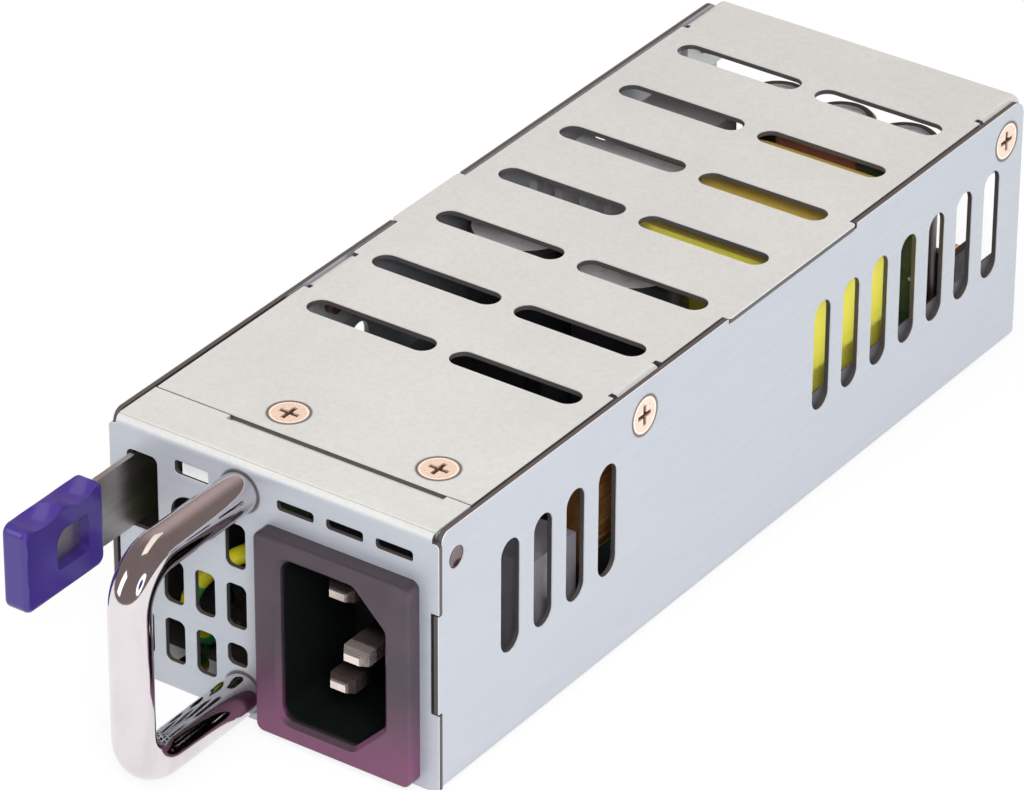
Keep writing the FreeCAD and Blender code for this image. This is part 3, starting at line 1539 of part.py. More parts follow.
def power_blades():
    _, _, y0 = connector_box()
    root = y0 + connector_wall
    tip = board_rear + power_blade_over
    z0 = board_top + connector_floor
    z1 = z0 + power_blade_height
    half = power_blade_thickness / 2
    side = [(root, z0, 0), (tip, z0, power_blade_low_round),
            (tip, z1, power_blade_high_round), (root, z1, 0)]
    return group([prism_x(side, x - half, x + half) for x in power_blade_places()])


def signal_pins():
    x0, _, y0 = connector_box()
    pins = []
    half = signal_pin_size / 2
    for column in range(signal_pin_columns):
        x = x0 + signal_pin_first_x + column * signal_pin_pitch
        for row in range(signal_pin_rows):
            z = board_top + connector_floor + signal_pin_first_z + row * signal_pin_pitch
            pins.append(block(x - half, x + half, y0 + connector_wall, board_rear,
                              z - half, z + half))
    return group(pins)


# ---- Build ------------------------------------------------------------------------------------
def main():
    os.makedirs("parts", exist_ok=True)
    write("chassis_tray", chassis_tray())
    write("top_cover", top_cover())
    write("front_panel", front_panel())
    write("panel_rivets", panel_rivets())
    write("cover_screws", cover_screws())
    write("side_screws", side_screws())
    write("handle", handle())
    write("handle_screws", handle_screws())
    write("latch_strip", latch_strip())
    write("latch_rivets", latch_rivets())
    write("latch_grip", latch_grip())
    write("inlet_body", inlet_body())
    for index, name in enumerate(("line_blade", "neutral_blade", "earth_blade")):
        write(name, inlet_blade(index))
    write("earth_wire", earth_wire())
    write("earth_ring_terminal", earth_ring())
    write("earth_screw", earth_screw())
    write("light_pipe", light_pipe())
    write("status_led", status_led())
    write("light_board", light_board())
    write("insulating_film", insulating_film())
    write("main_board", main_board())
    write("board_standoffs", board_standoffs())
    write("board_screws", board_screws())
    write("fuse", fuse())
    write("fuse_clips", fuse_clips())
    write("varistor", varistor())
    write("x_capacitor", x_capacitor())
    write("choke_core", choke_core())
    write("choke_winding_right", choke_winding(1))
    write("choke_winding_left", choke_winding(-1))
    write("choke_base", choke_base())
    write("relay", relay())
    write("bridge_rectifier", bridge_rectifier())
    write("bulk_capacitor_left", bulk_capacitor(0))
    write("bulk_capacitor_right", bulk_capacitor(1))
    write("heatsink", heatsink())
    write("transistors", transistors())
    write("transistor_screws", transistor_screws())
    write("pfc_choke", pfc_choke())
    write("transformer_core", transformer_core())
    write("transformer_winding", transformer_winding())
    write("transformer_tape", transformer_tape())
    write("transformer_bobbin", transformer_bobbin())
    write("output_inductor", output_inductor())
    write("control_board", control_board())
    write("control_board_parts", control_board_parts())
    write("output_capacitors", output_capacitors())
    write("output_connector", output_connector())
    write("power_blades", power_blades())
    write("signal_pins", signal_pins())


main()
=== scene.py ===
"""Looks of a hot swap server power supply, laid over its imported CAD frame.

Lengths are metres in the row frame: x to the right, y to the rear, z up. Only materials,
camera, floor and studio are made here. The CAD objects keep their places and meshes.
"""

import bpy
from mathutils import Matrix, Vector


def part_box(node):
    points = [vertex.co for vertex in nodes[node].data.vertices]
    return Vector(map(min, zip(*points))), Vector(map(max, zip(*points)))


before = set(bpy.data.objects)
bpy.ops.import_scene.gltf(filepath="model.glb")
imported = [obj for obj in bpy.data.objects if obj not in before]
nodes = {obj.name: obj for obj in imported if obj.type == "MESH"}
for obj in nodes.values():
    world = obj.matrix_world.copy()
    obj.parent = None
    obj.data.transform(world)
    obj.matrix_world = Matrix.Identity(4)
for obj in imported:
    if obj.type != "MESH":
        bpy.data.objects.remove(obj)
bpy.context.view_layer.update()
MM = 0.001

# ---- Camera, fitted to the case corners and slot outlines in the photograph -------------------
EYE = Vector((0.42004, -0.62028, 0.46812))
RIGHT_AXIS = Vector((0.81906752, 0.57368209, 0.00415466))
UP_AXIS = Vector((-0.29948241, 0.42138302, 0.85600621))
BACK_AXIS = Vector((0.48932473, -0.70237113, 0.51694884))
SENSOR_WIDTH = 36.0
LENS = 224.42
NEAREST, FARTHEST = 0.01, 20.0

camera_data = bpy.data.cameras.new("camera")
camera_data.sensor_width = SENSOR_WIDTH
camera_data.lens = LENS
camera_data.clip_start = NEAREST
camera_data.clip_end = FARTHEST
camera = bpy.data.objects.new("camera", camera_data)
bpy.context.scene.collection.objects.link(camera)
turn = Matrix((RIGHT_AXIS, UP_AXIS, BACK_AXIS)).transposed().to_4x4()
camera.matrix_world = Matrix.Translation(EYE) @ turn
bpy.context.scene.camera = camera

# ---- Material helpers -------------------------------------------------------------------------
UNPAINTED = (0.5, 0.5, 0.5, 1.0)
MIX_FACTOR, MIX_A, MIX_B, MIX_RESULT = 0, 6, 7, 2     # sockets of a Mix node set to colour

# Values of a noise between which one tone turns into the other.
CLOUDY = (0.35, 0.65)
BROAD = (0.3, 0.7)
LATE = (0.35, 0.7)


def shade(colour, share):
    return tuple(c * share for c in colour)


class Paint:
    """A node material under construction; its coordinates are the row frame's."""

    def __init__(self, name, metallic=0.0, rough=0.5, spec=0.5, coat=0.0, coat_rough=0.1):
        self.mat = bpy.data.materials.new(name)
        self.mat.use_nodes = True
        self.tree = self.mat.node_tree
        self.bsdf = self.tree.nodes["Principled BSDF"]
        for socket, value in (("Base Color", UNPAINTED), ("Metallic", metallic),
                              ("Roughness", rough), ("Specular IOR Level", spec),
                              ("Coat Weight", coat), ("Coat Roughness", coat_rough)):
            self.set(self.bsdf, socket, value)
        self.place = self.node("ShaderNodeTexCoord").outputs["Object"]
        self.last_relief = None

    def node(self, kind, **settings):
        made = self.tree.nodes.new(kind)
        for key, value in settings.items():
            setattr(made, key, value)
        return made

    def set(self, node, socket, value):
        """Link a socket to another, or set it to a number, vector or colour."""
        if isinstance(value, bpy.types.NodeSocket):
            self.tree.links.new(value, node.inputs[socket])
        else:
            node.inputs[socket].default_value = value

    def math(self, operation, a, b=0.0):
        made = self.node("ShaderNodeMath", operation=operation)
        self.set(made, 0, a)
        self.set(made, 1, b)
        return made.outputs[0]

    def times(self, a, b):
        return self.math("MULTIPLY", a, b)

    def size_of(self, a):
        return self.math("ABSOLUTE", a)

    def noise(self, scale, detail, rough, stretch=(1, 1, 1)):
        """Noise whose scale is in features per metre, on stretched coordinates."""
        stretched = self.node("ShaderNodeMapping")
        self.set(stretched, "Vector", self.place)
        self.set(stretched, "Scale", stretch)
        made = self.node("ShaderNodeTexNoise")
        for socket, value in (("Vector", stretched.outputs[0]), ("Scale", scale),
                              ("Detail", detail), ("Roughness", rough)):
            self.set(made, socket, value)
        return made.outputs["Fac"]

    def cells(self, scale, feature="F1"):
        """Distance within cells whose scale is in cells per metre."""
        made = self.node("ShaderNodeTexVoronoi", feature=feature)
        self.set(made, "Vector", self.place)
        self.set(made, "Scale", scale)
        return made.outputs["Distance"]

    def ramp(self, value, low, high, to_low=0.0, to_high=1.0):
        """Smooth step from to_low to to_high as a value goes from low to high."""
        made = self.node("ShaderNodeMapRange", interpolation_type="SMOOTHSTEP")
        for socket, number in (("Value", value), ("From Min", low), ("From Max", high),
                               ("To Min", to_low), ("To Max", to_high)):
            self.set(made, socket, number)
        return made.outputs[0]

    def fall(self, value, low, high):
        """Smooth step from one down to nothing."""
        return self.ramp(value, low, high, 1.0, 0.0)

    def between(self, value, start, full, fade, end):
        """One from full to fade, and nothing before start or after end."""
        return self.times(self.ramp(value, start, full), self.fall(value, fade, end))

    def mix(self, factor, a, b):
        """Colour a where the factor is nothing, colour b where it is one."""
        made = self.node("ShaderNodeMix", data_type="RGBA")
        for socket, value in ((MIX_FACTOR, factor), (MIX_A, a), (MIX_B, b)):
            self.set(made, socket, (*value, 1.0) if isinstance(value, tuple) else value)
        return made.outputs[MIX_RESULT]

    def mottled(self, noise, a, b, spread=CLOUDY):
        """Colour a turning into b as a noise passes through a spread of values."""
        return self.mix(self.ramp(noise, *spread), a, b)

    def axis(self, letter, source=None):
        made = self.node("ShaderNodeSeparateXYZ")
        self.set(made, 0, self.place if source is None else source)
        return made.outputs[letter]

    def normal(self, letter):
        return self.axis(letter, self.node("ShaderNodeNewGeometry").outputs["Normal"])

    def off_middle(self, letter, low, high):
        """Distance along one axis from the middle of a span."""
        return self.size_of(self.math("SUBTRACT", self.axis(letter), (low + high) / 2))

    def nearest(self, centres, plane="XY"):
        """Distance, seen square to a plane, from the nearest of several points in it."""
        away = None
        for a, b in centres:
            da = self.math("SUBTRACT", self.axis(plane[0]), a)
            db = self.math("SUBTRACT", self.axis(plane[1]), b)
            here = self.math("SQRT", self.math("ADD", self.times(da, da), self.times(db, db)))
            away = here if away is None else self.math("MINIMUM", away, here)
        return away

    def colour(self, socket):
        self.set(self.bsdf, "Base Color", socket)

    def rough(self, socket):
        self.set(self.bsdf, "Roughness", socket)

    def metal(self, socket):
        self.set(self.bsdf, "Metallic", socket)

    def relief(self, height, distance, strength):
        """Bump of a given depth in metres, on top of the one before it."""
        made = self.node("ShaderNodeBump")
        for socket, value in (("Strength", strength), ("Distance", distance),
                              ("Height", height)):
            self.set(made, socket, value)
        if self.last_relief is not None:
            self.set(made, "Normal", self.last_relief)
        self.last_relief = made.outputs[0]
        self.set(self.bsdf, "Normal", self.last_relief)

    def glow(self, colour, strength=1.0):
        made = self.node("ShaderNodeEmission")
        self.set(made, "Color", colour)
        self.set(made, "Strength", strength)
        return made.outputs[0]

    def output(self, socket):
        self.set(self.tree.nodes["Material Output"], 0, socket)


def give(paint, *names):
    """Make a material the only one on each of these CAD pieces."""
    for name in names:
        obj = nodes[name]
        obj.data.materials.clear()
        obj.data.materials.append(paint.mat)


# ---- Zinc plated sheet ------------------------------------------------------------------------
SHEET = 0.8 * MM                     # thickness of the case
PANEL_FACE = -71 * MM                # y of the front panel's outer face
LINED_UP_TO = (-34 * MM, -33 * MM)   # y where the dark lining of the tray's walls ends

# One zinc on all three pieces: the cover's lighter, warmer tone carries painted light from
# above, and the tray's and the panel's darker, bluer tones carry painted shade.
ZINC_COVER_PAINTED_LIGHT = (0.69, 0.695, 0.675)
ZINC_TRAY_PAINTED_SHADE = (0.475, 0.49, 0.535)
ZINC_PANEL_PAINTED_SHADE = (0.47, 0.495, 0.55)
ZINC_DULL_SHARE = 0.965
ZINC_PAINTED_TOP_LIGHT = (0.68, 0.68, 0.655)
ZINC_PAINTED_TOP_LIGHT_DULL = (0.655, 0.655, 0.635)
ZINC_STREAK = (0.75, 0.765, 0.74)
ZINC_GRAIN = (0.5, 0.52, 0.51)
# Painted highlight along cut faces, painted shade on the cut faces below it, and a painted
# shadow ring around screw heads and rods:
RIM_HIGHLIGHT = (0.9, 0.88, 0.87)
CUT_FACE_SHADE = (0.06, 0.045, 0.042)
RING_SHADOW = (0.09, 0.078, 0.075)
LINING = (0.075, 0.06, 0.06)
RIM_HIGHLIGHT_SHARE, RING_SHADOW_SHARE, CUT_SHADE_SHARE = 0.7, 0.92, 0.93

ROLLED_LENGTHWISE = (14, 0.6, 14)
ROLLED_CROSSWISE = (0.6, 14, 14)


def heads_of(name, along, across):
    """Plane, centres and radius of the heads of a row of two screws."""
    low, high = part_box(name)
    i, j = "XYZ".index(along), "XYZ".index(across)
    radius = (high[j] - low[j]) / 2
    middle = (high[j] + low[j]) / 2
    ends = (low[i] + radius, high[i] - radius)
    return along + across, [(end, middle) for end in ends], radius


def rods_of(name):
    """Plane, centres and radius of the two ends of a handle bent from round rod."""
    low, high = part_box(name)
    radius = (high.x - low.x) / 2
    middle = (high.x + low.x) / 2
    return "XZ", [(middle, low.z + radius), (middle, high.z - radius)], radius


def zinc_sheet(name, roll, through, outer, inner, rounds, painted_tone, lined=False):
    """Mottled, finely streaked zinc, lighter and warmer on faces that look up as painted top
    lighting. Where the sheet is cut, its bare steel carries a painted highlight and painted
    shade.

    The sheet's thickness lies along the axis called through, from its inner to its outer face.
    The rounds are the screw heads or rods around which a ring of painted shadow is laid on the
    sheet.
    """
    p = Paint(name, metallic=0.35, rough=0.4)
    cloud = p.noise(45, detail=4, rough=0.6)
    grain = p.noise(1500, detail=3, rough=0.65)
    streak = p.noise(90, detail=5, rough=0.7, stretch=roll)
    # Painted light from above: faces that look up take a lighter, warmer tone.
    lit_from_above = p.ramp(p.normal("Z"), 0.2, 0.7)
    tone = p.mottled(
        cloud, p.mix(lit_from_above, shade(painted_tone, ZINC_DULL_SHARE), ZINC_PAINTED_TOP_LIGHT_DULL),
        p.mix(lit_from_above, painted_tone, ZINC_PAINTED_TOP_LIGHT))
    tone = p.mix(p.ramp(streak, 0.4, 0.62, to_high=0.1), tone, ZINC_STREAK)
    tone = p.mix(p.ramp(grain, *BROAD, to_high=0.3), tone, ZINC_GRAIN)

    # The cut faces turn away from the thickness. They carry a painted highlight next to the
    # outer face, and below it painted shade that darkens their bare steel.
    cut = p.fall(p.size_of(p.normal(through)), 0.25, 0.45)
    reach = p.size_of(p.axis(through))
    outer, inner = abs(outer), abs(inner)
    rim_highlight = p.times(cut, p.ramp(reach, outer - 0.16 * MM, outer - 0.1 * MM))
    tone = p.mix(p.times(rim_highlight, RIM_HIGHLIGHT_SHARE), tone, RIM_HIGHLIGHT)
    below_rim = p.between(reach, inner - 0.12 * MM, inner - 0.06 * MM,
                          outer - 0.17 * MM, outer - 0.09 * MM)

    plane, centres, radius = rounds
    # Painted shadow: a dark ring on the sheet around each screw head and rod end.
    ring_shadow = p.between(p.nearest(centres, plane), radius - 0.1 * MM, radius + 0.02 * MM,
                       radius + 0.1 * MM, radius + 0.5 * MM)
    tone = p.mix(p.times(ring_shadow, RING_SHADOW_SHARE), tone, RING_SHADOW)
    if lined:
        within = p.times(p.fall(reach, inner + 0.02 * MM, inner + 0.1 * MM),
                         p.fall(p.axis("Y"), *LINED_UP_TO))
        tone = p.mix(within, tone, LINING)
    # Painted shade on the cut faces, below the highlight.
    p.colour(p.mix(p.times(p.times(cut, below_rim), CUT_SHADE_SHARE), tone, CUT_FACE_SHADE))

    wear = p.math("ADD", p.times(cloud, 0.6), p.times(streak, 0.4))
    p.rough(p.ramp(wear, *BROAD, 0.36, 0.5))
    p.relief(grain, 0.02 * MM, strength=0.6)
    p.relief(p.cells(420), 0.01 * MM, strength=0.35)
    p.relief(p.noise(28, detail=2, rough=0.5), 0.08 * MM, strength=0.25)
    return p


cover_heads = heads_of("cover_screws", "X", "Y")
side_heads = heads_of("side_screws", "Y", "Z")
cover_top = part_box("top_cover")[1].z
tray_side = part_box("chassis_tray")[1].x
give(zinc_sheet("zinc_cover", ROLLED_LENGTHWISE, "Z", cover_top, cover_top - SHEET,
                cover_heads, ZINC_COVER_PAINTED_LIGHT), "top_cover")
give(zinc_sheet("zinc_tray", ROLLED_LENGTHWISE, "X", tray_side, tray_side - SHEET,
                side_heads, ZINC_TRAY_PAINTED_SHADE, lined=True), "chassis_tray")
give(zinc_sheet("zinc_panel", ROLLED_CROSSWISE, "Y", PANEL_FACE, PANEL_FACE + SHEET,
                rods_of("handle"), ZINC_PANEL_PAINTED_SHADE), "front_panel")

# ---- Screws, rivets, blades and other plated pieces -------------------------------------------
SCREW_FACE = (0.84, 0.64, 0.51)
SCREW_FACE_DULL = (0.77, 0.58, 0.46)
# Painted highlight on the rim, painted shade at the head's edge and in its recess.
SCREW_RIM_HIGHLIGHT = (0.97, 0.84, 0.73)
SCREW_EDGE_SHADE = (0.16, 0.1, 0.08)
SCREW_RECESS_SHADE = (0.2, 0.11, 0.075)
SCREW_EDGE_SHADE_SHARE = 0.8


def screw_paint(name, heads, axis, face):
    """Copper toned flat head with a painted highlight on its rim, a ring of painted shade at its
    very edge, and painted shade in its recess.
    """
    p = Paint(name, metallic=0.35, rough=0.32)
    plane, centres, radius = heads
    away = p.nearest(centres, plane)
    tone = p.mix(p.noise(700, detail=2, rough=0.5), SCREW_FACE, SCREW_FACE_DULL)
    rim_highlight = p.between(away, radius - 0.45 * MM, radius - 0.3 * MM,
                    radius - 0.25 * MM, radius - 0.12 * MM)
    tone = p.mix(rim_highlight, tone, SCREW_RIM_HIGHLIGHT)
    edge = p.ramp(away, radius - 0.16 * MM, radius - 0.05 * MM)
    tone = p.mix(p.times(edge, SCREW_EDGE_SHADE_SHARE), tone, SCREW_EDGE_SHADE)
    sunk_shade = p.fall(p.size_of(p.axis(axis)), face - 0.4 * MM, face - 0.05 * MM)
    p.colour(p.mix(sunk_shade, tone, SCREW_RECESS_SHADE))
    p.rough(p.ramp(p.noise(3000, detail=3, rough=0.5), *BROAD, 0.26, 0.4))
    p.relief(p.noise(2600, detail=2, rough=0.5), 0.004 * MM, strength=0.4)
    return p


def plated(name, colour, rough, grain=2500):
    """Smooth plating that is duller in patches."""
    p = Paint(name, metallic=1.0, rough=rough)
    p.colour(p.mottled(p.noise(grain / 6, detail=4, rough=0.6), colour, shade(colour, 0.82),
                       LATE))
    p.rough(p.ramp(p.noise(grain / 3, detail=3, rough=0.5), *BROAD, rough * 0.8, rough * 1.3))
    p.relief(p.noise(grain, detail=2, rough=0.5), 0.01 * MM, strength=0.5)
    return p


give(screw_paint("cover_screw_nickel", cover_heads, "Z", cover_top), "cover_screws")
give(screw_paint("side_screw_nickel", side_heads, "X", tray_side), "side_screws")
give(plated("warm_nickel", (0.93, 0.8, 0.7), 0.3, grain=9000), "latch_rivets")
give(plated("dark_rivet", (0.24, 0.185, 0.2), 0.16, grain=9000), "panel_rivets")
give(plated("gold_plate", (0.9, 0.62, 0.2), 0.25), "power_blades", "signal_pins")
give(plated("bright_nickel", (0.76, 0.73, 0.68), 0.24),
     "handle_screws", "board_screws", "transistor_screws", "earth_screw", "board_standoffs",
     "earth_ring_terminal", "fuse_clips")

# The inlet's blades: their plating at the tip, then painted shade that grows darker towards
# their root, deep in the socket.
BLADE_TIP, BLADE_TIP_DULL = (0.9, 0.78, 0.72), (0.8, 0.68, 0.63)
SOCKET_SHADE, SOCKET_SHADE_DULL = (0.3, 0.22, 0.2), (0.22, 0.16, 0.145)
BLADE_ROOT_SHADE = (0.03, 0.024, 0.024)

blade = Paint("blade_plate", metallic=0.8, rough=0.24)
blade_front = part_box("line_blade")[0].y
back = blade.axis("Y")
bare = blade.mix(blade.noise(700, detail=3, rough=0.5), BLADE_TIP, BLADE_TIP_DULL)
shaded_body = blade.mix(blade.noise(500, detail=3, rough=0.5), SOCKET_SHADE, SOCKET_SHADE_DULL)
into_shade = blade.ramp(back, blade_front + 2 * MM, blade_front + 4.5 * MM)
at_tip = blade.fall(back, blade_front + 0.15 * MM, blade_front + 0.5 * MM)
blade.colour(blade.mix(at_tip, blade.mix(into_shade, shaded_body, BLADE_ROOT_SHADE), bare))
blade.rough(blade.ramp(blade.noise(900, detail=3, rough=0.5), *BROAD, 0.2, 0.3))
blade.relief(blade.noise(1500, detail=2, rough=0.5), 0.002 * MM, strength=0.4)
give(blade, "line_blade", "neutral_blade", "earth_blade")

# ---- Handle, latch spring and heatsink --------------------------------------------------------
chrome = Paint("chrome_rod", metallic=1.0, rough=0.1)
smear = chrome.noise(60, detail=4, rough=0.6, stretch=(1, 3, 1))
chrome.colour(chrome.mottled(smear, (0.77, 0.725, 0.74), (0.69, 0.645, 0.67), (0.4, 0.7)))
chrome.rough(chrome.ramp(smear, 0.35, 0.75, 0.07, 0.12))
chrome.relief(chrome.noise(160, detail=2, rough=0.5), 0.002 * MM, strength=0.4)
give(chrome, "handle")

spring = Paint("spring_steel", metallic=1.0, rough=0.3)
brushed = spring.noise(260, detail=5, rough=0.75, stretch=(1, 0.05, 1))
spring.colour(spring.mottled(brushed, (0.52, 0.48, 0.45), (0.62, 0.58, 0.55)))
spring.rough(spring.ramp(brushed, *BROAD, 0.24, 0.42))
spring.relief(brushed, 0.015 * MM, strength=0.6)
give(spring, "latch_strip")

aluminium = Paint("extruded_aluminium", metallic=0.25, rough=0.38)
drawn = aluminium.noise(500, detail=4, rough=0.7, stretch=(1, 1, 0.05))
aluminium.colour(aluminium.mottled(drawn, (0.8, 0.78, 0.79), (0.7, 0.69, 0.7)))
aluminium.relief(drawn, 0.02 * MM, strength=0.6)
give(aluminium, "heatsink")


# ---- Plastics and insulation ------------------------------------------------------------------
def moulded(name, colour, rough, spec=0.45, grain=2200, depth=0.02 * MM, tint=0.8):
    """Moulded plastic in a colour that is darker in patches by the tint."""
    p = Paint(name, rough=rough, spec=spec)
    p.colour(p.mottled(p.noise(120, detail=3, rough=0.6), colour, shade(colour, tint)))
    p.rough(p.ramp(p.noise(300, detail=3, rough=0.6), *BROAD, rough * 0.85, rough * 1.15))
    p.relief(p.noise(grain, detail=3, rough=0.6), depth, strength=0.6)
    return p


for material, colour, rough, more, names in (
        ("black_plastic", (0.022, 0.022, 0.024), 0.45, {},
         ("choke_base", "relay", "bridge_rectifier", "transformer_bobbin",
          "output_connector")),
        ("violet_plastic", (0.046, 0.025, 0.19), 0.17,
         {"spec": 0.55, "grain": 260, "depth": 0.01 * MM, "tint": 0.92}, ("latch_grip",)),
        ("milky_plastic", (0.8, 0.8, 0.79), 0.3, {}, ("light_pipe", "status_led")),
        ("grey_case", (0.3, 0.27, 0.3), 0.45, {}, ("x_capacitor",)),
        ("blue_epoxy", (0.02, 0.075, 0.32), 0.25, {"grain": 900, "depth": 0.05 * MM},
         ("varistor",)),
        ("insulating_film", (0.055, 0.05, 0.055), 0.35, {}, ("insulating_film",)),
        ("ferrite", (0.05, 0.048, 0.047), 0.6, {"grain": 4000, "depth": 0.04 * MM},
         ("choke_core", "transformer_core"))):
    give(moulded(material, colour, rough, **more), *names)

# The inlet: near black, with a painted purple reflection towards its foot, painted shade on
# faces that look up, and painted shade that makes its mouth black inside.
INLET, INLET_DULL = (0.06, 0.042, 0.053), (0.05, 0.035, 0.045)
INLET_FOOT_REFLECTION, FOOT_REFLECTION_SHARE, FOOT_REFLECTION_HEIGHT = (0.19, 0.05, 0.125), 0.75, 16 * MM
INLET_TOP_SHADE = (0.036, 0.026, 0.032)
INLET_MOUTH_SHADE = (0.005, 0.007, 0.006)

inlet = moulded("inlet_plastic", INLET, 0.4, grain=3500)
inlet_low, inlet_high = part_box("inlet_body")
skin = inlet.mottled(inlet.noise(120, detail=3, rough=0.6), INLET, INLET_DULL)
# Painted reflection: purple towards the foot.
foot_reflection = inlet.fall(inlet.axis("Z"), inlet_low.z, inlet_low.z + FOOT_REFLECTION_HEIGHT)
skin = inlet.mix(inlet.times(foot_reflection, FOOT_REFLECTION_SHARE), skin, INLET_FOOT_REFLECTION)
# Painted shade on faces that look up.
skin = inlet.mix(inlet.ramp(inlet.normal("Z"), 0.4, 0.8), skin, INLET_TOP_SHADE)
# Painted shade: black inside the mouth.
mouth_shade = inlet.ramp(inlet.axis("Y"), inlet_low.y + 0.6 * MM, inlet_low.y + 1.6 * MM)
for letter, low_side, high_side in (("X", inlet_low.x, inlet_high.x),
                                    ("Z", inlet_low.z, inlet_high.z)):
    half = (high_side - low_side) / 2
    mouth_shade = inlet.times(mouth_shade, inlet.fall(inlet.off_middle(letter, low_side, high_side),
                                          half - 1.6 * MM, half - 1.2 * MM))
inlet.colour(inlet.mix(mouth_shade, skin, INLET_MOUTH_SHADE))
give(inlet, "inlet_body")


def taped(name, colour, edge, pitch, rough=0.4, shaded_top=None):
    """Wound tape, whose layers show as faint steps, with painted shade on top if given."""
    p = Paint(name, rough=rough)
    steps = p.math("FRACT", p.math("DIVIDE", p.axis("Z"), pitch))
    line = p.fall(steps, 0.0, 0.12)
    tone = p.mottled(p.noise(90, detail=3, rough=0.6), colour, shade(colour, 0.94))
    if shaded_top:
        tone = p.mix(p.ramp(p.normal("Z"), 0.05, 0.5), tone, shaded_top)
    p.colour(p.mix(p.times(line, 0.4), tone, edge))
    p.relief(steps, 0.06 * MM, strength=0.5)
    p.relief(p.noise(220, detail=4, rough=0.6), 0.15 * MM, strength=0.4)
    return p


# The yellow tape's top carries painted shade, an amber brown.
give(taped("yellow_tape", (1.0, 0.9, 0.115), (0.92, 0.78, 0.06), 8.5 * MM, rough=0.35,
           shaded_top=(0.62, 0.46, 0.1)), "transformer_tape")
give(taped("grey_tape", (0.43, 0.385, 0.4), (0.26, 0.23, 0.24), 7 * MM), "pfc_choke")
give(taped("brown_tape", (0.28, 0.1, 0.07), (0.14, 0.05, 0.04), 6 * MM), "output_inductor")

# ---- Earth lead and copper windings -----------------------------------------------------------
LEAD_GREEN, LEAD_YELLOW = (0.02, 0.32, 0.06), (0.8, 0.72, 0.02)
LEAD_SLANT, LEAD_TURNS = 0.6, 900.0      # stripes lean in z, and this many radians per metre

lead = Paint("earth_lead", rough=0.32)
slanted = lead.math("ADD", lead.axis("X"), lead.times(lead.axis("Z"), LEAD_SLANT))
stripe = lead.math("SINE", lead.times(slanted, LEAD_TURNS))
lead.colour(lead.mottled(stripe, LEAD_GREEN, LEAD_YELLOW, (-0.25, 0.05)))
lead.relief(lead.noise(900, detail=2, rough=0.5), 0.02 * MM, strength=0.5)
give(lead, "earth_wire")

copper = Paint("enamelled_copper", metallic=0.75, rough=0.24, coat=0.5, coat_rough=0.12)
copper.colour(copper.mottled(copper.noise(350, detail=3, rough=0.6),
                             (0.5, 0.2, 0.05), (0.66, 0.33, 0.1)))
copper.relief(copper.noise(1500, detail=2, rough=0.5), 0.01 * MM, strength=0.5)
give(copper, "choke_winding_right", "choke_winding_left", "transformer_winding")

# ---- Circuit boards ---------------------------------------------------------------------------
AREAS_PER_METRE, PADS_PER_METRE = 160, 330
AREA_GAP = (0.6 * MM, 0.9 * MM)          # bare strip left between two copper areas
TINNED = (0.62, 0.61, 0.56)


def board(name, mask, copper_tone):
    """Solder mask over copper areas, with tinned pads."""
    p = Paint(name, rough=0.3, coat=0.35, coat_rough=0.15)
    areas = p.ramp(p.cells(AREAS_PER_METRE, "DISTANCE_TO_EDGE"),
                   *(gap * AREAS_PER_METRE for gap in AREA_GAP))
    pads = p.fall(p.cells(PADS_PER_METRE), 0.13, 0.16)
    p.colour(p.mix(pads, p.mix(areas, mask, copper_tone), TINNED))
    p.relief(areas, 0.03 * MM, strength=0.6)
    p.relief(pads, 0.04 * MM, strength=0.6)
    return p


give(board("main_laminate", (0.012, 0.07, 0.035), (0.02, 0.12, 0.055)), "main_board")
give(board("small_laminate", (0.04, 0.06, 0.025), (0.06, 0.085, 0.04)),
     "control_board", "light_board")

# ---- Capacitors -------------------------------------------------------------------------------
CAN_TOP, CAN_TOP_BRIGHT, CAN_METALLIC = (0.82, 0.78, 0.8), (0.9, 0.86, 0.87), 0.2
BULK_SLEEVE, OUTPUT_SLEEVE = (0.035, 0.035, 0.042), (0.05, 0.022, 0.014)
BULK_LIP, OUTPUT_LIP = 0.6 * MM, 1.5 * MM


def can_paint(name, centres, top, radius, lip, sleeve):
    """Shrink sleeve curled over the rim of a bare aluminium top."""
    p = Paint(name, rough=0.35)
    within = p.fall(p.nearest(centres), radius - lip - 0.1 * MM, radius - lip + 0.1 * MM)
    bare = p.times(within, p.ramp(p.axis("Z"), top - 1.2 * MM, top - 0.9 * MM))
    metal = p.mottled(p.noise(300, detail=3, rough=0.6), CAN_TOP, CAN_TOP_BRIGHT)
    wrap = p.mottled(p.noise(100, detail=3, rough=0.6), sleeve, shade(sleeve, 0.75))
    p.colour(p.mix(bare, wrap, metal))
    p.metal(p.times(bare, CAN_METALLIC))
    p.relief(p.noise(160, detail=3, rough=0.6), 0.06 * MM, strength=0.4)
    return p


def cans_of(name, count):
    """Centres, top and radius of a row of equal cans along x, from the node's box."""
    low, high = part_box(name)
    radius = (high.y - low.y) / 2
    first, last = low.x + radius, high.x - radius
    step = (last - first) / max(count - 1, 1)
    return [(first + i * step, (low.y + high.y) / 2) for i in range(count)], high.z, radius


for name, count, lip, sleeve in (("bulk_capacitor_left", 1, BULK_LIP, BULK_SLEEVE),
                                 ("bulk_capacitor_right", 1, BULK_LIP, BULK_SLEEVE),
                                 ("output_capacitors", 3, OUTPUT_LIP, OUTPUT_SLEEVE)):
    give(can_paint("can_" + name, *cans_of(name, count), lip, sleeve), name)

